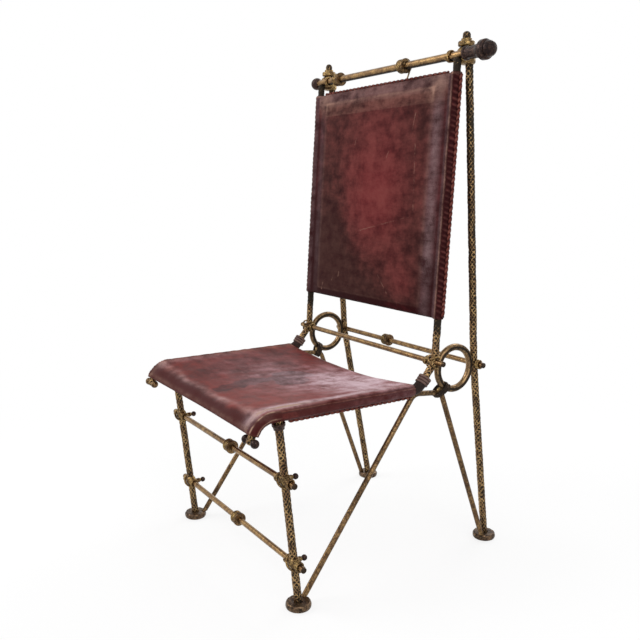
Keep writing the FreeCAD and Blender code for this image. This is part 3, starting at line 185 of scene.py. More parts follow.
# finishes
class Socket:
    # a socket of a material's nodes, with arithmetic that adds Math nodes
    def __init__(self, tree, link=None):
        self.tree = tree
        self.link = link

    def node(self, kind, settings=None, feeds=None, out=0):
        made = self.tree.nodes.new(kind)
        for key, value in (settings or {}).items():
            setattr(made, key, value)
        for key, value in (feeds or {}).items():
            if isinstance(value, Socket):
                self.tree.links.new(value.link, made.inputs[key])
            else:
                made.inputs[key].default_value = value
        return Socket(self.tree, made.outputs[out])

    def other(self, out):
        return Socket(self.tree, self.link.node.outputs[out])

    def maths(self, operation, first, second=0.0):
        return self.node("ShaderNodeMath", {"operation": operation}, {0: first, 1: second})

    def __add__(self, other):
        return self.maths("ADD", self, other)

    def __sub__(self, other):
        return self.maths("SUBTRACT", self, other)

    def __rsub__(self, other):
        return self.maths("SUBTRACT", other, self)

    def __mul__(self, other):
        return self.maths("MULTIPLY", self, other)

    def __truediv__(self, other):
        return self.maths("DIVIDE", self, other)

    __radd__ = __add__
    __rmul__ = __mul__


def clearTree(owner):
    owner.use_nodes = True
    owner.node_tree.nodes.clear()
    return Socket(owner.node_tree)


def newFinish(name, **fixed):
    material = bpy.data.materials.new(name)
    base = clearTree(material)
    shader = base.tree.nodes.new("ShaderNodeBsdfPrincipled")
    output = base.tree.nodes.new("ShaderNodeOutputMaterial")
    base.tree.links.new(shader.outputs[0], output.inputs[0])
    for key, value in fixed.items():
        shader.inputs[key.replace("_", " ")].default_value = value
    return material, base, shader


def feed(shader, base, **links):
    for key, value in links.items():
        base.tree.links.new(value.link, shader.inputs[key.replace("_", " ")])


def noise(base, coords, scale, detail=3.0, rough=0.55, stretch=None):
    if stretch:
        coords = base.node("ShaderNodeMapping", None, {"Vector": coords, "Scale": stretch})
    feeds = {"Vector": coords, "Scale": scale, "Detail": detail, "Roughness": rough}
    return base.node("ShaderNodeTexNoise", None, feeds)


def markOf(base, name):
    return base.node("ShaderNodeAttribute", {"attribute_name": name}, out="Fac")


def rise(value, low, high):
    # 0 below low, 1 above high, smooth between
    settings = {"interpolation_type": "SMOOTHSTEP"}
    return value.node("ShaderNodeMapRange", settings, {"Value": value, "From Min": low, "From Max": high})


def blendColour(share, first, second):
    return share.node("ShaderNodeMix", {"data_type": "RGBA"}, {0: share, 6: first, 7: second}, out=2)


def bump(height, distance, strength):
    return height.node("ShaderNodeBump", None, {"Height": height, "Distance": distance, "Strength": strength})


def colour(shades):
    return (*shades, 1.0)


# metals: noises are scale, detail and roughness, and brown and bright say how far worn gold departs from its colour
goldLook = Look(
    patches=(11.0, 4.0, 0.6), leaf=(75.0, 3.0, 0.6), brown=(-0.48, -0.57, -0.60), bright=(0.40, 0.35, 0.10), metal=0.6,
    dull=0.22, shine=0.2)
# dark and gold colours, share of gold, roughness, scale of the specks, strength of the patches, wear, mark of relief
metalLooks = {
    "hammeredGold": ((0.020, 0.014, 0.009), (0.33, 0.222, 0.120), 0.40, 0.36, 300.0, 0.35, 1.0, "relief"),
    "rubbedGold": ((0.030, 0.018, 0.011), (0.240, 0.152, 0.078), 0.54, 0.30, 230.0, 0.75, 0.75),
    "knotGold": ((0.018, 0.012, 0.007), (0.35, 0.240, 0.115), 0.55, 0.32, 330.0, 0.8, 1.0),
    "ringBronze": ((0.020, 0.013, 0.008), (0.265, 0.175, 0.092), 0.52, 0.26, 160.0, 0.7, 0.5, "relief"),
    "footBronze": ((0.020, 0.013, 0.009), (0.19, 0.124, 0.078), 0.40, 0.28, 230.0, 0.8, 0.5, "relief"),
    "darkBronze": ((0.014, 0.008, 0.008), (0.105, 0.064, 0.052), 0.36, 0.22, 260.0, 0.9, 0.6),
}
# the smooth bars, which have a finish each: each carries a painted highlight on its upper front and painted shade below
barLook = ((0.030, 0.018, 0.011), (0.275, 0.174, 0.086), 0.52, 0.28, 260.0, 0.75, 0.75)


def goldFinish(name, dark, gold, share, rough, speck, blotch, worn, mark=None, bar=None):
    # dark metal with gold rubbed on: patches and specks, and the raised places where the piece has a mark for them.
    # A straight bar is given by setback, height, radius and end: a painted highlight above and in front, painted shade
    # below and behind, and dark at its end.
    material, base, shader = newFinish(name, Specular_IOR_Level=goldLook.shine)
    coords = base.node("ShaderNodeTexCoord", out="Object")
    patches = noise(base, coords, *goldLook.patches)
    specks = noise(base, coords, speck, 3.0, 0.65)
    level = (patches - 0.5) * blotch + (specks - 0.5) * 1.5 + share
    # on rods and rings the mark also holds a painted highlight on the side facing the lamp and painted shade on the
    # other
    if mark:
        level = level + (markOf(base, mark) - 0.35) * 1.1
    if bar:
        setback, height, radius, end = bar
        x = base.node("ShaderNodeSeparateXYZ", None, {"Vector": coords})
        y, z = x.other(1), x.other(2)
        # painted light: lighter on the bar's upper front, darker below and behind it, as if lit from above and in front
        upper = ((z - height) * 0.8 - (y - setback) * 0.6) / radius
        tip = rise(base.maths("ABSOLUTE", x - midX), end - 0.0042, end - 0.0030)
        level = level + (rise(upper, -0.75, 0.65) - 0.60) * 1.05 - tip * 0.75
    crest = rise(level, 0.15, 0.85)
    brown, bright = (colour(part * (1 + shift * worn) for part, shift in zip(gold, goldLook[key]))
                     for key in ("brown", "bright"))
    leaf = blendColour(rise(noise(base, coords, *goldLook.leaf), 0.36, 0.66), brown, bright)
    feed(shader, base,
         Base_Color=blendColour(crest, colour(dark), leaf),
         Metallic=crest * 0.35 + goldLook.metal,
         Roughness=(1 - crest) * goldLook.dull + rough,
         Normal=bump(specks, 0.0006, 0.7))
    return material


metals = Look({name: goldFinish(name, *look) for name, look in metalLooks.items()})

# leathers: noises as above, the fourth value of the streaks is a stretch along X, Y and Z
hideLook = Look(
    clouds=(5.5, 5.0, 0.62), mottle=(34.0, 5.0, 0.62), pores=(900.0, 2.0, 0.5),
    streaks=(26.0, 4.0, 0.7, (0.6, 1.0, 1.7)), ragged=(140.0, 2.0), coatRough=0.30)
# each scar is a line on the cut, from u, v to u, v in metres, and its half width
backScars = [
    (-0.060, 0.176, 0.156, 0.222, 0.0015),
    (0.055, 0.078, 0.093, 0.039, 0.0016),
    (-0.114, 0.058, -0.110, 0.070, 0.0040),
    (-0.144, 0.046, -0.139, 0.052, 0.0030),
    (-0.192, 0.018, -0.186, 0.034, 0.0030),
    (0.173, 0.230, 0.165, 0.385, 0.0015),
    (0.150, 0.420, 0.158, 0.455, 0.0013),
    (-0.069, 0.396, -0.064, 0.410, 0.0018),
    (0.062, 0.360, 0.068, 0.372, 0.0016),
]
# dark, red, pale (wear and painted highlight) and painted sheen colours, roughness, shine, scars
hideLooks = {
    "seatHide": ((0.054, 0.009, 0.008), (0.225, 0.024, 0.015), (0.40, 0.25, 0.18), (0.58, 0.415, 0.460), 0.34, 0.035),
    "backHide": ((0.026, 0.0048, 0.0055), (0.148, 0.0185, 0.0215), (0.30, 0.17, 0.13), (0.195, 0.130, 0.135), 0.40,
                 0.022, backScars),
    "wrapHide": ((0.022, 0.012, 0.010), (0.105, 0.052, 0.043), (0.30, 0.21, 0.17), (0.13, 0.10, 0.10), 0.40, 0.08),
    "laceHide": ((0.022, 0.006, 0.006), (0.110, 0.016, 0.013), (0.24, 0.12, 0.09), (0.13, 0.08, 0.085), 0.42, 0.05),
}


def leatherFinish(name, dark, red, pale, sheenColour, gloss, shine, scars=()):
    # oxblood hide: slow clouds, mottling and pores, paler with wear and painted highlights, and with a painted sheen,
    # where the piece has marks for them, and along its scars
    material, base, shader = newFinish(name, Coat_Roughness=hideLook.coatRough, Specular_IOR_Level=shine)
    coords = base.node("ShaderNodeTexCoord", out="Object")
    clouds, mottle, pores, streaks = (noise(base, coords, *hideLook[key])
                                      for key in ("clouds", "mottle", "pores", "streaks"))
    warm, wearAndHighlight, paintedSheen = (markOf(base, key) for key in ("warm", "wearAndHighlight", "paintedSheen"))
    tone = rise(clouds * 0.28 + mottle * 0.62 + streaks * 0.40 + (warm - 0.5) * 0.75, 0.36, 1.00)
    hide = blendColour(tone, colour(dark), colour(red))
    # a painted sheen: a pale reflection blended into the colour where the piece marks it
    hide = blendColour(paintedSheen * rise((mottle + streaks + pores) * 0.4, 0.42, 0.80), hide, colour(sheenColour))
    # wear and painted highlights turn the hide pale where the piece marks them
    worn = wearAndHighlight * rise((mottle + streaks) * 0.6, 0.35, 0.85) + base.maths("MAXIMUM", wearAndHighlight - 1.0, 0.0)
    if scars:
        u = base.node("ShaderNodeSeparateXYZ", None, {"Vector": base.node("ShaderNodeUVMap", {"uv_map": "cut"})})
        v = u.other(1)
        ragged = (noise(base, coords, *hideLook.ragged) - 0.5) * 0.006
        for u0, v0, u1, v1, width in scars:
            length = math.hypot(u1 - u0, v1 - v0)
            du, dv = (u1 - u0) / length, (v1 - v0) / length
            along = (u - u0) * du + (v - v0) * dv
            aside = base.maths("ABSOLUTE", (u - u0) * -dv + (v - v0) * du + ragged)
            beyond = base.maths("ABSOLUTE", along - length / 2) - length / 2
            line = (1 - rise(aside, width * 0.3, width)) * (1 - rise(beyond, 0.0, 0.004))
            worn = base.maths("MAXIMUM", worn, line * rise(mottle, 0.34, 0.66) * 0.75)
    feed(shader, base,
         Base_Color=blendColour(base.maths("MINIMUM", worn * 0.75, 0.9), hide, colour(pale)),
         Roughness=(mottle - 0.5) * 0.35 + (1 - tone) * 0.08 + worn * 0.15 + gloss,
         Coat_Weight=rise(clouds + (mottle - 0.5) * 0.5, 0.35, 0.75) * shine * 0.8,
         Normal=bump(pores * 0.25 + mottle * 0.5, 0.0009, 0.55))
    return material


hides = Look({name: leatherFinish(name, *look) for name, look in hideLooks.items()})
print("finishes made")

# hammered rods: a round bar whose skin carries two families of crossing helical ridges. Waves are given by their count,
# shortest and longest length and height. Dusk says how much darker, with less gold, the rod grows towards the top, from
# which height and over what rise.
rodLook = Look(
    radius=0.009, depth=0.0010, pitch=0.0112, starts=6, sharp=3.4, step=0.0011, around=60, girth=0.014,
    drift=(9, 0.03, 0.16, 1.4), shake=(14, 0.010, 0.034, 2.0), worn=(14, 0.012, 0.05, 0.40),
    wornMiddle=0.84, wornLeast=0.45, inset=0.0001, lumps=(7, 0.012, 0.05, 0.00015), patches=(6, 0.10, 0.40, 0.06),
    light=0.06, rubbed=0.24)
paintedLightSide = unit(np.array([-0.55, -0.55, 0.63]))  # the side facing the key lamp, painted lighter on rods and rings: a painted highlight
legSlope = (chair.legFoot - chair.legTop) / chair.seat
# node, corners as setback, height and half width where it isn't the usual one, bends, domes at both ends, seed, dusk
rodPaths = {
    "rearPost": ("rear_post", [(chair.rearFoot, 0.0119, chair.rearHalf), (0.601, 0.465), (0.554, 1.150)],
                 [0.090], (0, 0.0015), 11, (0.24, 0.48, 0.40)),
    "sideRail": ("side_rail", [(0.0064, 0.3776), (0.0244, chair.seat), (chair.slope, chair.seat),
                               chair.elbow, (0.521, 1.1435)],
                 [0.048, chair.slopeBend, 0.040], (0.0075, 0), 31, (0.70, 0.535, 0.022)),
    "frontLeg": ("front_leg", [(chair.legFoot - legSlope * height, height) for height in (0.0115, 0.4185)],
                 [], (0, 0), 51, (0.30, 0.48, 0.06)),
    "domedPin": ("finial", [(0.545, 1.1685), (0.545, 1.2)], [], (0, 0.009), 61, (0.30, 0.48, 0.06)),
}


def hammeredRod(name, corners, radii, across, domes, seed, dusk):
    # radius = full radius less the depth between ridges, ridges at cos(starts * angle +- turns along the run),
    # drawn in to the axis over the dome length at each end
    look = rodLook
    path, headings = bentPath(corners, radii, look.step)
    path = np.vstack([path[:1], path, path[-1:]])
    headings = np.vstack([headings[:1], headings, headings[-1:]])
    run = runLength(path)[:, None]
    angle = turns(look.around)
    twist = 2 * np.pi * run / look.pitch
    around = np.cos(angle[None, :] - 0.7) * look.girth
    uneven = waves(run, around, seed, *look.drift) + waves(run, around, seed + 2, *look.shake)
    first = 0.5 + 0.5 * np.cos(look.starts * angle[None, :] + twist + uneven)
    second = 0.5 + 0.5 * np.cos(look.starts * angle[None, :] - twist + uneven * 0.8)
    worn = look.wornMiddle + waves(run, around, seed + 3, *look.worn)
    ridge = np.maximum(first, second) ** look.sharp * np.clip(worn, look.wornLeast, 1)
    radius = look.radius - look.depth * (1 - ridge)
    radius = radius + waves(run, around, seed + 1, *look.lumps) - look.inset
    for dome, gap in ((domes[0], run), (domes[1], run[-1] - run)):
        near = np.clip(1 - gap / max(dome, 1e-6), 0, 1)
        radius = radius * np.sqrt(1 - near ** 2)
    radius[0] = radius[-1] = 0
    points = sweep(path, headings, across, radius, angle)
    lost, start, fade = dusk
    shade = lost * ramp(path[:, 2:], fade, start) - look.light
    shade = shade + waves(run, run * 0, seed + 4, *look.patches)
    # painted light: the rod is lighter on the side facing the lamp and darker on the other side
    third = np.cross(headings, across) @ paintedLightSide
    rubbed = np.cos(angle)[None, :] * (across @ paintedLightSide) + np.sin(angle)[None, :] * third[:, None]
    relief = ridge - shade + look.rubbed * rubbed
    return addSurface(name, points, metals.hammeredGold, marks={"relief": relief})


for label, side in sides:
    for name, (node, corners, radii, domes, seed, dusk) in rodPaths.items():
        corners = [spot(side, *corner) for corner in corners]
        across = acrossX
        if name == "rearPost":  # its bend lies in a plane of its own
            across = unit(np.cross(corners[2] - corners[1], corners[0] - corners[1]))
        rod = hammeredRod(f"{name}_{label}", corners, radii, across, domes, seed + side, dusk)
        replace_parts(rod, f"{node}_{label}")
print("rods hammered")

# knuckles: the brazed lumps that join a rear post, the top bar and a finial
knuckleLook = Look(
    setback=0.549, foot=1.1312, radius=0.0178, length=0.0366, round=0.006, lump=0.0011, lumps=(18, 0.009, 0.022),
    girth=0.018, bulge=0.012, spread=0.75, around=72)


def lathe(middle, radius, height, angle):
    return np.stack([middle[0] + radius * np.cos(angle), middle[1] + radius * np.sin(angle), height + 0 * angle], -1)


def brazedKnuckle(name, middle, seed):
    # a barrel with rounded ends, swollen forward round the top bar and pushed along its radius by a sum of waves
    look = knuckleLook
    full, tall, bend, girth = look.radius, look.length, look.round, look.girth
    turn = np.linspace(0, np.pi / 2, 9)
    rim = full - bend + bend * np.sin(turn)
    rimRise = bend * (1 - np.cos(turn))
    side = np.linspace(bend, tall - bend, 24)[1:-1]
    radius = np.hstack([[0], rim, np.full(len(side), full), rim[::-1], [0]])[:, None]
    height = np.hstack([[0], rimRise, side, tall - rimRise[::-1], [tall]])[:, None]
    angle = turns(look.around)[None, :]
    lumps = waves(np.cos(angle) * girth + height, np.sin(angle) * girth, seed, *look.lumps)
    forward = hill(np.arccos(-np.sin(angle)), 0, look.spread)
    bulge = look.bulge * (1 - (2 * height / tall - 1) ** 2) * forward
    radius = np.maximum(radius + (look.lump * (lumps - 0.4) + bulge) * (radius > 0), 0)
    points = lathe(middle, radius, look.foot + height, angle)
    return addSurface(name, points, metals.knotGold)


for label, side in sides:
    knuckle = brazedKnuckle(f"brazedKnuckle_{label}", spot(side, knuckleLook.setback, 0), 65 + side)
    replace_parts(knuckle, f"top_knuckle_{label}")

# feet: turned discs, dented by the hammer
footLook = Look(
    radius=0.028, height=0.015, rim=0.004, lead=0.001, socket=0.0105, socketDepth=0.0045, dent=0.00055,
    dents=(24, 0.006, 0.016), relief=0.42, around=84)


def hammeredFoot(name, middle, seed):
    # a lathe profile of base, rim, top and socket, pushed along its radius and height by a sum of waves
    wide, tall, rim, hole = footLook.radius, footLook.height, footLook.rim, footLook.socket
    flat, floor = wide - rim - footLook.lead, tall - footLook.socketDepth
    turn = np.linspace(-np.pi / 2, np.pi / 2, 15)
    edge = np.stack([wide - rim + rim * np.cos(turn), tall / 2 + (tall / 2) * np.sin(turn)], 1)
    base = np.stack([np.linspace(0, flat, 6), np.zeros(6)], 1)
    upper = np.stack([np.linspace(flat, hole + 0.0007, 9), np.full(9, tall)], 1)
    socket = np.array([[hole, tall - 0.0006], [hole, floor], [0.0, floor]])
    profile = np.vstack([base, edge, upper, socket])
    radius, height = profile[:, :1], profile[:, 1:]
    angle = turns(footLook.around)
    along = np.sin(angle) * radius + runLength(profile)[:, None] * 0.5
    dents = waves(np.cos(angle) * radius, along, seed, *footLook.dents)
    pushed = footLook.dent * (0.6 - dents) * (height > 0.001) * (radius > hole + 0.0003)
    points = lathe(middle, radius - pushed * (radius > 0.02), height - pushed, angle)
    marks = {"relief": footLook.relief + 0.22 * dents}
    return addSurface(name, points, metals.footBronze, marks=marks)


for label, side in sides:
    for end, half, seed in (("front", chair.half, 71), ("rear", chair.rearHalf, 81)):
        place = spot(side, chair[f"{end}Foot"], 0, half)
        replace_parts(hammeredFoot(f"{end}Foot_{label}", place, seed + side), f"foot_{end}_{label}")

# side rings: a bar with a groove along both faces, bent round
ringLook = Look(
    place=(0.538, 0.462), middle=0.049, radial=0.0079, wide=0.0080, groove=0.34, grooveWidth=0.22,
    uneven=(8, 0.03, 0.12, 0.0003), relief=0.52, grooveDark=0.62, grooveShade=0.30, rubbed=0.30,
    around=180, section=36)


def groovedRing(name, middle, seed):
    # the section is an oval, squeezed where it crosses the middle line, carried round a circle in the YZ plane
    look = ringLook
    turn, angle = turns(look.around)[:, None], turns(look.section)[None, :]
    squeeze = 1 - look.groove * hill(np.cos(angle), 0, look.grooveWidth)
    radial = look.middle + look.radial * np.cos(angle)
    radial = radial + waves(turn * look.middle, angle * 0.004, seed, *look.uneven)
    wide = look.wide * np.sin(angle) * squeeze + 0 * turn
    points = np.stack([middle[0] + wide, middle[1] + radial * np.cos(turn), middle[2] + radial * np.sin(turn)], -1)
    # painted light: the ring is lighter on the side facing the lamp and darker on the other side
    outward = np.cos(turn) * paintedLightSide[1] + np.sin(turn) * paintedLightSide[2]
    rubbed = np.sin(angle) * paintedLightSide[0] + np.cos(angle) * outward
    relief = look.relief - look.grooveDark * hill(np.cos(angle), 0, look.grooveShade)
    relief = relief + look.rubbed * rubbed
    points, relief = (np.vstack([part, part[:1]]) for part in (points, relief))
    return addSurface(name, points, metals.ringBronze, marks={"relief": relief})


for label, side in sides:
    ring = groovedRing(f"sideRing_{label}", spot(side, *ringLook.place), 91 + side)
    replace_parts(ring, f"side_ring_{label}")
print("feet and rings made")

# ties: wire wound round a ring and the brace below it
tieLook = Look(
    low=(0.499, 0.4056, 0.254), high=(0.5101, 0.4217), along=(0, 1.0, -0.3), long=0.0212, short=0.0096, wire=0.0017,
    pitch=0.0034, turns=5, slack=(8, 0.004, 0.02, 0.05), relief=0.25, steps=40, around=12)


def woundTie(name, low, high, seed):
    # a wire round an oval whose long axis joins both bars, one pitch further along the bars with each turn
    look = tieLook
    turn = np.linspace(0, 2 * np.pi * look.turns, look.steps * look.turns)[:, None]
    reach = unit(high - low)
    along = np.array(look.along)
    along = unit(along - reach * (along @ reach))
    reachPart, sidePart = np.cos(turn) * reach, np.sin(turn) * np.cross(reach, along)
    slack = 1 + waves(turn * 0.002, turn * 0, seed, *look.slack)
    shift = look.pitch * (turn / (2 * np.pi) - look.turns / 2)
    path = (low + high) / 2 + slack * (reachPart * look.long + sidePart * look.short) + shift * along
    headings = np.gradient(path, axis=0)
    headings = headings / np.linalg.norm(headings, axis=1)[:, None]
    outward = reachPart * look.short + sidePart * look.long
    outward = outward - headings * (outward * headings).sum(1)[:, None]
    outward = outward / np.linalg.norm(outward, axis=1)[:, None]
    radius = np.full((len(path), 1), look.wire)
    points = sweep(path, headings, outward, radius, turns(look.around))
    first, last = (np.repeat(end[None, None], look.around, 1) for end in (path[0], path[-1]))
    points = np.vstack([first, points, last])
    return addSurface(name, points, metals.footBronze, marks={"relief": look.relief})


# braze: the lump of metal that fills each lashed joint, under its wires. The three reaches run along X, to the front
# and along the axis.
lumpLook = Look(swell=(16, 0.006, 0.018, 0.05), girth=0.012, boxy=0.85, rows=40, around=56)
jointLook = Look(
    levels=(("upper", 0.288), ("lower", 0.103)), reach=(0.0185, 0.0122, 0.0150), stub=(0.0082, 0.0165),
    stubReach=(0.0058, 0.0085, 0.0058), tieReach=(0.0080, 0.0072, 0.0125))


def boxed(value):
    return np.sign(value) * np.abs(value) ** lumpLook.boxy


def brazeLump(name, middle, axis, reach, seed):
    # a boxy ball: powers of the sines and cosines of two angles, stretched to its three reaches and pushed by waves
    tilt = np.linspace(0, np.pi, lumpLook.rows)[:, None]
    angle = turns(lumpLook.around)[None, :]
    bar = boxed(np.cos(tilt)) + 0 * angle
    front, rising = boxed(np.sin(tilt)) * boxed(np.cos(angle)), boxed(np.sin(tilt)) * boxed(np.sin(angle))
    girth = lumpLook.girth
    swell = 1 + waves(front * girth + bar * girth, rising * girth, seed, *lumpLook.swell)
    axis = unit(axis)
    lengths = [reach[0] * acrossX, reach[1] * unit(np.cross(acrossX, axis)), reach[2] * axis]
    points = middle + sum((part * swell)[..., None] * length for part, length in zip((bar, front, rising), lengths))
    return addSurface(name, points, metals.knotGold)


for label, side in sides:
    for level, height in jointLook.levels:
        joint = spot(side, chair.legFoot - legSlope * height, height)
        legAxis = np.array([0, -legSlope, 1.0])
        brazeLump(f"stretcherBraze_{level}_{label}", joint, legAxis, jointLook.reach, 151 + side)
        inward, behind = jointLook.stub
        neck = joint + np.array([-side * inward, behind, 0])
        brazeLump(f"stubBraze_{level}_{label}", neck, np.array([0, 0, 1.0]), jointLook.stubReach, 161 + side)
    low, high = spot(side, *tieLook.low), spot(side, *tieLook.high)
    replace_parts(woundTie(f"braceTie_{label}", low, high, 141 + side), "brace_ties")
    brazeLump(f"tieBraze_{label}", (low + high) / 2, high - low, jointLook.tieReach, 171 + side)
print("ties and braze made")

# seat: one hide, sleeved on both rails and sagging between them. Angles are degrees round the rail, 90 on its top.
# Taut is reach, pitch and height, gathers pitch and height, welt lead, rise and end, edge start, angle and fall, groove
# and lip are offset from the edge, width and height.
seatLook = Look(
    rear=0.4155, bend=0.058, noseRadius=0.048, noseTurn=68.0, sleeve=0.0131, thick=0.0034, sag=0.0175, frontSag=0.008,
    dip=0.002, leave=97.0, wrap=112.0, hem=0.0009, swell=(16, 0.09, 0.32, 0.0013), wrinkles=(14, 0.025, 0.07, 0.00030),
    taut=(0.045, 0.046, 0.00035), puckers=(10, 0.011, 0.04, 0.00045), gathers=(0.0125, 0.0004),
    welt=(0.016, 0.012, 0.004), cords=(58, -14), cordWidth=0.10, cordHeight=0.0013, stitchPitch=0.0062,
    edge=(0.02, 42, 0.30), edgeWander=(8, 0.03, 0.12, 0.05), groove=(-0.10, 0.075, -0.0010), lip=(0.06, 0.080, 0.0006),
    frayed=(12, 0.006, 0.022, 0.5), crest=(14, 0.02, 0.12, 0.55), clouds=(14, 0.03, 0.10, 0.45))


def seatForm():
    # across: round one rail, a parabola that sags, round the other rail. Along: level, then round the front bend.
    look, r = seatLook, seatLook.sleeve
    bendRun = look.rear - look.bend
    back = look.rear - np.linspace(0, 1, 150)[:, None] * bendRun
    turn = np.radians(np.linspace(0, look.noseTurn, 34)[1:])[:, None]
    zero = np.zeros_like(back)
    lineY = np.vstack([back, look.bend - look.noseRadius * np.sin(turn)])
    lineZ = np.vstack([zero, -look.noseRadius * (1 - np.cos(turn))]) + chair.seat
    lean = np.vstack([zero, turn])
    run = runLength(np.hstack([lineY, lineZ]))[:, None]
    length = run[-1, 0]
    nose = ramp(run, length - bendRun, bendRun)
    behind = ramp(bendRun - run, bendRun)
    leave = math.radians(look.leave)
    edgeX = chair.half + r * math.cos(leave)
    close = np.linspace(-edgeX, -edgeX + 0.03, 12)
    x = np.hstack([close, np.linspace(-edgeX + 0.035, edgeX - 0.035, 110), -close[::-1]])[None, :]

    # between the rails: sag, swells and wrinkles, folds drawn taut beside the rails, and the hems
    share = x / edgeX
    sag = look.sag + (look.frontSag - look.sag) * (nose * nose * (3 - 2 * nose))
    sag = sag + look.dip * np.sin(np.pi * run / length)
    lift = r * math.sin(leave) - sag * (1 - share ** 2)
    free = np.clip((1 - np.abs(share)) * 9, 0, 1)
    lift = lift + free * (waves(x, run, 5, *look.swell) + waves(x * 0.6, run * 1.6, 6, *look.wrinkles))
    wide, pitch, high = look.taut
    taut = hill((1 - np.abs(share)) * edgeX, 0, wide) * free
    lift = lift + taut * np.sin(run * 2 * np.pi / pitch + 9 * share) * high
    hem = hill(length - run, 0.006, 0.0045) + 0.7 * hill(run, 0.005, 0.004)
    lift = lift + hem * look.hem

    # round the rails: puckers, the welt of two stitched cords on the bend, and behind it a turned edge
    around = np.linspace(leave, math.radians(-look.wrap), 50)[None, :]
    pitch, high = look.gathers
    pucker = waves(around * r, run, 7, *look.puckers) + nose * np.sin(run * 2 * np.pi / pitch) * high
    start, fade, end = look.welt
    welt = ramp(run, fade, bendRun - start) * ramp(length - run, end)
    (upper, lower), wide = np.radians(look.cords), look.cordWidth
    cords = hill(around, upper, wide) + hill(around, lower, wide)
    between = ramp(around, wide, lower) * ramp(upper - around, wide)
    stitches = 0.75 + 0.25 * np.cos(2 * np.pi * run / look.stitchPitch)
    start, angle, fall = look.edge
    bare = ramp(bendRun - run, start)
    turned = math.radians(angle) - fall * behind + waves(run, run * 0, 12, *look.edgeWander)
    groove, lip = (bare * hill(around, turned + look[key][0], look[key][1]) for key in ("groove", "lip"))
    sleeve = r + pucker * (1 - 0.7 * welt * between) + hem * 0.0008 + welt * cords * stitches * look.cordHeight
    sleeve = sleeve + look.groove[2] * groove + look.lip[2] * lip
    railX, railN = chair.half + sleeve * np.cos(around), sleeve * np.sin(around)
    allX = np.hstack([-railX[:, ::-1], x + 0 * run, railX])
    allN = np.hstack([railN[:, ::-1], lift, railN])
    points = np.stack([midX + allX, frontY + lineY - allN * np.sin(lean), lineZ + allN * np.cos(lean)], -1)
    width = runLength(points[len(run) // 3])
    uv = np.stack([np.broadcast_to(width - width[-1] / 2, allX.shape), np.broadcast_to(length - run, allX.shape)], -1)
    cut = (float(width[-1]), float(length))
    return points, uv, cut, seatTones(allX, allN, run, nose, behind, around, hem, welt, cords, between, groove, lip)


def seatTones(allX, allN, run, nose, behind, around, hem, welt, cords, between, groove, lip):
    # where the hide is pale with wear and painted highlights, where it is warm or darker with painted shade, and where
    # a painted sheen lies on it. Hills across are in metres from the middle, and hills behind are shares of the way
    # from the front bend to the rear.
    rail = hill(np.abs(allX), 0.258, 0.012)
    outside = ramp(np.abs(allX), 0.006, 0.2680)
    # the top of each rail is paler: a painted sheen
    wearAndHighlight = 0.30 * rail * (allN > -0.004) + 0.3 * hem
    # darker below the rails and on the outer side of the sleeves: painted shade; darker too down the front bend
    warm = 0.56 - 0.10 * rail + 0.12 * np.sin(allX * 9) - 0.3 * (allN < -0.006)
    warm = warm - 0.80 * np.clip(nose * 1.8 - 0.55, 0, 1) - 0.42 * outside
    frayed = np.clip(0.72 + waves(around * seatLook.sleeve * 1.5, run, 8, *seatLook.frayed), 0, 1)
    cols = around.shape[1]
    for part in (np.s_[:, -cols:], np.s_[:, cols - 1::-1]):  # both sleeves carry the welt and the turned edge
        # the welt's cords and the lip are paler (wear and painted highlight), darker between the cords and in the
        # groove under the lip (painted shade)
        wearAndHighlight[part] = wearAndHighlight[part] * (1 - welt) + welt * cords * 1.8 * frayed + 0.55 * lip * frayed
        warm[part] = warm[part] - 0.8 * welt * between - 0.9 * groove + 0.25 * lip
    # painted sheen: a pale reflection at the rear, a fainter one in the middle and one along each rail
    paintedSheen = 2.0 * hill(allX, 0.14, 0.12) * hill(behind, 0.82, 0.24)
    paintedSheen = paintedSheen + 0.40 * hill(allX, 0, 0.20) * hill(behind, 0.52, 0.32)
    railSheen = hill(np.abs(allX), 0.247, 0.016) * hill(behind, 0.13, 0.32) * (1 - nose)
    paintedSheen = paintedSheen + (1.3 + 1.1 * np.sign(allX)) * railSheen
    # painted highlights along the front bend and at the front of the near rail, with a painted sheen on them
    crest = np.clip(0.62 + waves(allX, run * 2, 10, *seatLook.crest), 0.1, 1.2) * hill(nose, 0.32, 0.17) * (nose > 0)
    nearRail = hill(allX, 0.250, 0.013) * (1 - nose)
    wearAndHighlight = wearAndHighlight + 0.50 * crest + 1.5 * nearRail * hill(behind, 0.10, 0.22)
    paintedSheen = (paintedSheen + 0.55 * nearRail + 0.42 * crest) * (1 - 0.75 * outside)
    paintedSheen = paintedSheen * (1 + waves(allX * 2.2 + run * 0.6, run * 0.5, 9, *seatLook.clouds))
    return {"wearAndHighlight": np.clip(wearAndHighlight, 0, 2), "warm": np.clip(warm, 0, 1), "paintedSheen": np.clip(paintedSheen, 0, 2)}


points, uv, seatCut, marks = seatForm()
points, uv, marks = points[:, ::-1], uv[:, ::-1], {key: value[:, ::-1] for key, value in marks.items()}
seat = addSurface("seatHide", points, hides.seatHide, closed=False, uv=uv, marks=marks)
wall = seat.modifiers.new("hide", "SOLIDIFY")
wall.thickness = seatLook.thick
wall.offset = -1  # the faces look up, and the hide lies below them
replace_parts(seat, "leather_seat")
print("seat hide", [round(value, 3) for value in seatCut])

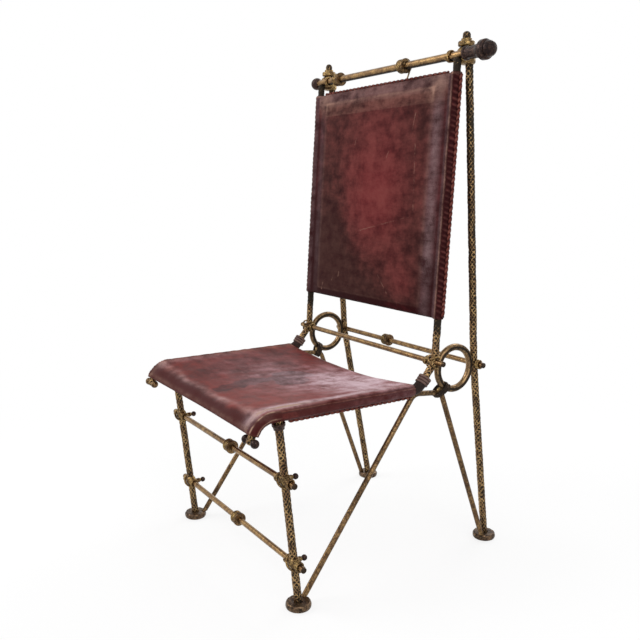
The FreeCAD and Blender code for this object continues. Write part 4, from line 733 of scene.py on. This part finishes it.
# back: an envelope over the uprights, its front raised to a flat panel with sloping borders
backLook = Look(
    bottom=0.581, length=0.534, sleeve=0.0131, seam=0.0092, lift=0.0060, rear=0.0098, sideBorder=0.046, topBorder=0.032,
    footBorder=0.024, borderSharp=16, edge=0.2505, fold=0.006, swell=(18, 0.10, 0.40, 0.0010),
    wrinkles=(16, 0.03, 0.09, 0.00025), ridge=0.0009, crease=0.0007, rearWaves=(14, 0.08, 0.3, 0.0007), sleeveTurn=128,
    lapSpan=1.36, lapPitch=0.0122, lapSlant=1.1, lapWander=(9, 0.03, 0.12, 0.7), lapRound=0.6, lapTop=0.85,
    lapHeight=0.0018, bar=0.0092, endShare=0.35, sleeveWaves=(8, 0.02, 0.09, 0.0003))
elbowSetback, elbowHeight = chair.elbow
upLean = (chair.railTop[0] - elbowSetback) / (chair.railTop[1] - elbowHeight)
upright = unit(np.array([0, upLean, 1.0]))
rearward = unit(np.array([0, 1.0, -upLean]))
backFoot = spot(0, elbowSetback + upLean * (backLook.bottom - elbowHeight), backLook.bottom)


def softLeast(values, sharp):
    # a rounded minimum
    return -np.log(sum(np.exp(-value * sharp) for value in values)) / sharp


padLook = Look(rows=42, cols=40, pressure=4.0, frames=16, cap=0.0026)


def paddedSwell(x, t):
    # how far the padding swells the front: cloth on a coarse sheet, pinned along its four seams and pressed from behind
    scene = bpy.context.scene
    across, up = np.linspace(x.min(), x.max(), padLook.cols), np.linspace(t.min(), t.max(), padLook.rows)
    wide, tall = np.meshgrid(across, up)
    flat = np.stack([wide, np.zeros_like(wide), tall], -1).reshape(-1, 3)
    number = np.arange(len(flat)).reshape(wide.shape)
    faces = np.stack([number[:-1, :-1], number[:-1, 1:], number[1:, 1:], number[1:, :-1]], -1).reshape(-1, 4)
    mesh = bpy.data.meshes.new("padTrial")
    mesh.from_pydata(flat.tolist(), [], faces.tolist())
    trial = bpy.data.objects.new("padTrial", mesh)
    scene.collection.objects.link(trial)
    seams = np.hstack([number[0], number[-1], number[:, 0], number[:, -1]])
    trial.vertex_groups.new(name="seams").add(np.unique(seams).tolist(), 1.0, "REPLACE")
    cloth = trial.modifiers.new("padding", "CLOTH").settings
    cloth.vertex_group_mass = "seams"
    cloth.use_pressure = True
    cloth.uniform_pressure_force = padLook.pressure
    cloth.effector_weights.gravity = 0
    for moment in range(1, padLook.frames + 1):
        scene.frame_set(moment)
    settled = trial.evaluated_get(bpy.context.evaluated_depsgraph_get()).data
    moved = np.empty(len(flat) * 3, dtype=np.float32)
    settled.vertices.foreach_get("co", moved)
    bpy.data.objects.remove(trial)
    scene.frame_set(1)
    swell = np.abs(moved.reshape(-1, 3)[:, 1]).reshape(wide.shape)
    swell = swell * min(1.0, padLook.cap / max(float(swell.max()), 1e-9))
    rows = np.stack([np.interp(x[0], across, row) for row in swell])
    return np.stack([np.interp(t[:, 0], up, column) for column in rows.T], 1)


def backForm():
    # a closed section of front, sleeve, rear and sleeve, carried up the uprights. The front stands out by the least of
    # the ramps from its four borders, and both faces draw together in a round fold at the top and the foot.
    look, fold, total, half = backLook, backLook.fold, backLook.length, chair.half
    ends = fold * (1 - np.cos(np.linspace(0, np.pi / 2, 7)))
    middle = np.linspace(fold + 0.0016, total - fold - 0.0016, 330)
    t = np.hstack([[0], ends, middle, total - ends[::-1], [total]])[:, None]
    close = np.hstack([np.linspace(-look.edge, -0.240, 12), np.linspace(-0.2365, -0.195, 11)])
    x = np.hstack([close, np.linspace(-0.190, 0.190, 54), -close[::-1]])[None, :]

    # front and rear
    borders = [ramp(distance, look[key]) + 0 * x + 0 * t for distance, key in
               ((look.edge - np.abs(x), "sideBorder"), (total - t, "topBorder"), (t, "footBorder"))]
    lifted = np.clip(softLeast(borders, look.borderSharp), 0, 1)
    front = look.seam + look.lift * lifted + paddedSwell(x, t)
    front = front + np.sqrt(lifted) * (waves(x, t, 21, *look.swell) + waves(x, t * 0.7, 22, *look.wrinkles))
    front = front + look.ridge * hill(np.abs(x), 0.2462, 0.0016)  # a seam beside each sleeve
    crease = hill(x + 0.004 * np.sin(t * 14), 0.168, 0.0055) * ramp(t, 0.03, 0.2) * ramp(0.46 - t, 0.03)
    front = front + crease * look.crease
    rear = look.rear + 0 * t + waves(x, t, 23, *look.rearWaves)
    shut = np.sqrt(1 - (1 - ramp(np.minimum(t, total - t), fold)) ** 2)

    # sleeves, whipped over with a thong
    angle = np.radians(np.linspace(-look.sleeveTurn, look.sleeveTurn, 32))[None, :]
    outer = np.exp(-(angle / look.lapSpan) ** 10)
    phase = np.pi * t / look.lapPitch + angle * look.lapSlant + waves(t, t * 0, 25, *look.lapWander)
    lobe = np.abs(np.cos(phase)) ** look.lapRound
    full = look.sleeve + look.lapHeight * outer * (lobe - look.lapTop)
    radius = look.bar + (full - look.bar) * (look.endShare + (1 - look.endShare) * shut)
    radius = radius + waves(angle * look.sleeve, t, 24, *look.sleeveWaves)
    sleeveX, sleeveW = half + radius * np.cos(angle), radius * np.sin(angle)
    allX = np.hstack([x + 0 * t, sleeveX, x[:, ::-1] + 0 * t, -sleeveX[:, ::-1]])
    allW = np.hstack([-front * shut, sleeveW, rear[:, ::-1] * shut, sleeveW[:, ::-1]])
    kind = np.repeat([0, 1, 2, 1], [x.shape[1], angle.shape[1]] * 2)  # front, sleeve, rear, sleeve
    for row in (0, -1):  # the sleeves close on the bars inside them
        allX[row] = np.where(kind == 1, np.sign(allX[row]) * half, allX[row])
        allW[row] = 0
    points = backFoot + allX[..., None] * acrossX + allW[..., None] * rearward + t[..., None] * upright
    lap = np.hstack([allX, allX[:, :1]])
    away = np.hstack([kind, kind[:1]]) * 2.0  # the rear and the sleeves lie beside the front on the cut
    uv = np.stack([lap + away[None, :], np.broadcast_to(t, lap.shape)], -1)
    return points, uv, backTones(allX, allW, t, kind, lifted, shut, lobe ** 2 * outer, angle)


def backTones(allX, allW, t, kind, lifted, shut, lobes, angle):
    # where the hide is pale with wear and painted highlights, where it is warm, and where a painted sheen lies on it.
    # Hills are in metres, across from the middle and up from the foot.
    total = backLook.length
    panel, sleeve = kind == 0, kind == 1
    lift = np.zeros_like(allX)
    lift[:, panel] = lifted
    brow = hill(lift, 0.86, 0.10) * panel
    seamLine = hill(np.abs(allX), 0.2662, 0.0019) * (allW < 0)
    corner = hill(np.abs(allX), 0.225, 0.03) * hill(total - t, 0.025, 0.03) * panel
    # the top border, which faces up, is painted paler: a painted highlight, and a painted sheen on it too
    topBorder = ramp(t, 0.02, total - 0.04) * panel
    wearAndHighlight = 0.30 * brow * (1 + 1.6 * (t > total - 0.06)) + seamLine * (0.5 + 0.55 * (allX > 0))
    wearAndHighlight = wearAndHighlight + 0.9 * corner + 0.30 * topBorder + 0.4 * (1 - shut) * (t > 0.2)
    heart = hill(allX, 0.02, 0.13) * hill(t, 0.27, 0.19)
    low = hill(allX, 0.15, 0.09) * hill(t, 0.06, 0.08)
    dusk = hill(allX, -0.17, 0.09) * hill(t, 0.11, 0.12)
    warm = np.where(panel, 0.30 + 0.50 * heart + 0.42 * low - 0.3 * dusk - 0.36 * hill(t, 0, 0.15), 0.4)
    smooth = ramp(-1.40 - angle, 0.12)  # the front of each sleeve, which the thong leaves bare
    lobes, smooth = (np.hstack([part, part[:, ::-1]]) for part in (lobes, smooth))
    # the thong's laps on the sleeves are redder and paler on their tops and darker between them: painted highlight and
    # painted shade
    warm[:, sleeve] = 0.34 * lobes - 0.02 + 0.25 * smooth
    wearAndHighlight[:, sleeve] = wearAndHighlight[:, sleeve] + 0.22 * lobes ** 6
    wearAndHighlight = wearAndHighlight + 0.9 * hill(total - t, 0.0035, 0.0022) * sleeve
    # painted sheen: a pale reflection on the sloping side borders, stronger on the near side, on the top border and on
    # the bare front of each sleeve
    slanted = hill(np.abs(allX), 0.228, 0.016) * panel * (0.35 + 0.65 * (allX > 0))
    slanted = slanted * np.clip((total - t) / 0.09, 0.25, 1) * np.clip(t / 0.12, 0.55, 1)
    paintedSheen = np.clip(slanted * 0.9 + 0.60 * topBorder, 0, 1)
    paintedSheen[:, sleeve] = 0.45 * smooth
    return {"wearAndHighlight": np.clip(wearAndHighlight, 0, 2), "warm": np.clip(warm, 0, 1), "paintedSheen": paintedSheen}


points, uv, marks = backForm()
back = addSurface("backHide", points, hides.backHide, uv=uv, marks=marks)
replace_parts(back, "leather_back")
print("back envelope made")

# lacing: a thong whipped over an edge, drawn as a rope of slanted laps
laceLook = Look(
    core=0.0021, lap=0.0017, round=0.7, wander=(8, 0.02, 0.08, 0.35), end=0.003, around=20, step=0.0009, backOut=0.0155,
    backRun=(0.004, 0.530), backPitch=0.0122, seatRear=0.412, seatDrop=0.0158, seatRun=0.317, seatPitch=0.0125,
    topUp=0.5362, topHalf=0.242, topPitch=0.0160)


def whippedEdge(name, start, end, across, pitch, seed):
    # radius = core + lap * |cos(half the angle less a half turn for each pitch along)|
    length = float(np.linalg.norm(end - start))
    run = np.linspace(0, length, int(length / laceLook.step))[:, None]
    angle = turns(laceLook.around)
    wander = waves(run, run * 0, seed, *laceLook.wander)
    lap = np.abs(np.cos(np.pi * run / pitch + wander - angle[None, :] / 2)) ** laceLook.round
    radius = laceLook.core + laceLook.lap * lap
    radius = radius * np.sqrt(ramp(np.minimum(run, length - run), laceLook.end))
    heading = unit(end - start)
    points = sweep(start + heading * run, np.repeat(heading[None], len(run), 0), across, radius, angle)
    # the tops of the laps are paler and redder, darker between them: painted highlight and painted shade
    marks = {"wearAndHighlight": lap ** 3 * 0.7, "warm": 0.2 + 0.6 * lap}
    return addSurface(name, points, hides.laceHide, marks=marks)


for label, side in sides:
    beside = backFoot + acrossX * side * (chair.half + laceLook.backOut)
    low, high = (beside + upright * up for up in laceLook.backRun)
    piece = whippedEdge(f"backLace_{label}", low, high, rearward, laceLook.backPitch, 101 + side)
    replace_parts(piece, f"back_lacing_{label}")
    under = spot(side, laceLook.seatRear, chair.seat - laceLook.seatDrop)
    front = under - np.array([0, laceLook.seatRun, 0])
    piece = whippedEdge(f"seatLace_{label}", under, front, acrossX, laceLook.seatPitch, 111 + side)
    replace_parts(piece, f"seat_lacing_{label}")
topEdge = backFoot + upright * laceLook.topUp
reach = acrossX * laceLook.topHalf
piece = whippedEdge("backLace_top", topEdge - reach, topEdge + reach, rearward, laceLook.topPitch, 121)
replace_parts(piece, "back_lacing_top")

# wraps on the slopes: a strap wound on each rail
wrapLook = Look(
    inner=0.0093, cuff=0.0121, outer=0.0152, start=0.4130, cuffRun=0.0296, length=0.020, laps=3, lapRound=0.45,
    lapDepth=0.0016, end=0.001, uneven=(8, 0.008, 0.03, 0.0004), girth=0.015, step=0.0005, around=48)


def strapWrap(name, side, seed):
    # a cuff round the bend of the rail and then one round lap for each turn of the strap, closed down at both ends
    look, bend = wrapLook, chair.slopeBend
    slope = unit(np.array([0, elbowSetback - chair.slope, elbowHeight - chair.seat]))
    bendRun = bend * math.tan(math.acos(slope[1]) / 2)
    corner = spot(side, chair.slope, chair.seat)
    corners = [spot(side, look.start, chair.seat), corner, corner + slope * (bendRun + look.length)]
    path, headings = bentPath(corners, [bend], look.step)
    run = runLength(path)
    lap = np.abs(np.sin(np.pi * look.laps * ramp(run, look.length, look.cuffRun))) ** look.lapRound
    wound = ramp(run, look.end, look.cuffRun)
    outer = look.cuff + wound * (look.outer - look.lapDepth * (1 - lap) - look.cuff)
    outer = look.inner + (outer - look.inner) * np.sqrt(ramp(run[-1] - run, look.end))
    angle = turns(look.around)
    radius = outer[:, None] + waves(np.cos(angle)[None, :] * look.girth, run[:, None], seed, *look.uneven)
    radius[0] = radius[-1] = 0
    points = sweep(path, headings, acrossX, radius, angle)
    # the tops of the strap's laps are paler and redder: painted highlight
    mark = (lap * wound)[:, None]
    marks = {"wearAndHighlight": mark ** 4 * 0.6, "warm": 0.2 + 0.5 * mark}
    return addSurface(name, points, hides.wrapHide, marks=marks)


for label, side in sides:
    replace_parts(strapWrap(f"railWrap_{label}", side, 131 + side), f"rail_wrap_{label}")
print("lacing and wraps made")

# finishes of the turned, bent and wound pieces that stay as they are
finishOf = Look(gilt_bar=metals.rubbedGold, gilt_wire=metals.knotGold, dark_bronze=metals.darkBronze,
                hammered_iron=metals.hammeredGold, oxblood_leather=hides.backHide, leather_thong=hides.laceHide)
finishFor = Look(post_collar_left=metals.knotGold, post_collar_right=metals.knotGold, nose_peg_right=metals.rubbedGold)
# each smooth bar gets a finish of its own, with a painted highlight on its upper front and painted shade below and
# behind
for label in ("upper_stretcher", "lower_stretcher", "waist_rail_front", "waist_rail_rear", "top_bar"):
    lowest, highest = (np.array(corner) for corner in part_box(label))
    centre = (lowest + highest) / 2
    bar = centre[1], centre[2], highest[2] - centre[2], highest[0] - midX
    finishFor[label] = goldFinish(f"barGold_{label}", *barLook, bar=bar)
slotOf = {part["node"]: part["material_slot"] for part in frame["record"]["subparts"]}
for label, node in nodes.items():
    node.data.materials.clear()
    node.data.materials.append(finishFor.get(label, finishOf[slotOf[label]]))

# floor, light and camera: each lamp is its place, width and power
studioLook = Look(
    sky=0.62, floor=0.90, floorHalf=14, floorDrop=0.0004, lift=0.80, liftRange=(0.5, 1.7), aim=(0, 0, 0.55),
    lamps={"windowKey": ((-1.6, -2.6, 2.7), 2.2, 62.0), "sideFill": ((2.6, -0.8, 2.2), 2.4, 34.0),
           "rearRim": ((-0.6, 2.6, 2.4), 2.2, 40.0)})
cameraLook = Look(
    lens=42.184, sensor=36.0, farthest=60.0, place=(1.50575, -0.63708, 0.87258), heading=(-0.82512, 0.53713, -0.17510))
white = (1, 1, 1, 1)


def seenShare(base):
    # 1 for rays that come from the camera, straight, mirrored or through glass
    path = base.node("ShaderNodeLightPath")
    return base.maths("MINIMUM", path + path.other("Is Glossy Ray") + path.other("Is Transmission Ray"), 1.0)


def mixInto(base, kind, share, first, second):
    mix = base.node("ShaderNodeMixShader", None, {0: share, 1: first, 2: second})
    base.tree.links.new(mix.link, base.tree.nodes.new(kind).inputs[0])


scene = bpy.context.scene
half = studioLook.floorHalf
mesh = bpy.data.meshes.new("studioFloor")
mesh.from_pydata([(-half, -half, 0), (half, -half, 0), (half, half, 0), (-half, half, 0)], [], [(0, 1, 2, 3)])
floor = bpy.data.objects.new("studioFloor", mesh)
floor.location.z = -studioLook.floorDrop
scene.collection.objects.link(floor)
material = bpy.data.materials.new("paleFloor")
base = clearTree(material)
plain = base.node("ShaderNodeBsdfDiffuse", None, {"Color": colour([studioLook.floor] * 3)})
glow = base.node("ShaderNodeEmission", None, {"Color": white, "Strength": 1.0})
place = base.node("ShaderNodeTexCoord", out="Object")
away = base.node("ShaderNodeVectorMath", {"operation": "LENGTH"}, {0: place}, out="Value")
lift = rise(away, *studioLook.liftRange) * (1 - studioLook.lift) + studioLook.lift
mixInto(base, "ShaderNodeOutputMaterial", seenShare(base) * lift, plain, glow)
mesh.materials.append(material)

scene.world = bpy.data.worlds.new("studioSky")
base = clearTree(scene.world)
dim, bright = (base.node("ShaderNodeBackground", None, {"Color": white, "Strength": strength})
               for strength in (studioLook.sky, 1.0))
mixInto(base, "ShaderNodeOutputWorld", seenShare(base), dim, bright)

for name, (place, wide, power) in studioLook.lamps.items():
    light = bpy.data.lights.new(name, "AREA")
    light.shape = "DISK"
    light.size = wide
    light.energy = power
    lamp = bpy.data.objects.new(name, light)
    lamp.location = place
    lamp.rotation_euler = (Vector(studioLook.aim) - Vector(place)).to_track_quat("-Z", "Y").to_euler()
    scene.collection.objects.link(lamp)

lens = bpy.data.cameras.new("photoCamera")
lens.lens = cameraLook.lens
lens.sensor_width = cameraLook.sensor
lens.clip_end = cameraLook.farthest
camera = bpy.data.objects.new("photoCamera", lens)
x, y, z = cameraLook.place
camera.location = (midX + x, frontY + y, z)
camera.rotation_euler = Vector(cameraLook.heading).to_track_quat("-Z", "Y").to_euler()
scene.collection.objects.link(camera)
scene.camera = camera
scene.view_settings.view_transform = "Standard"
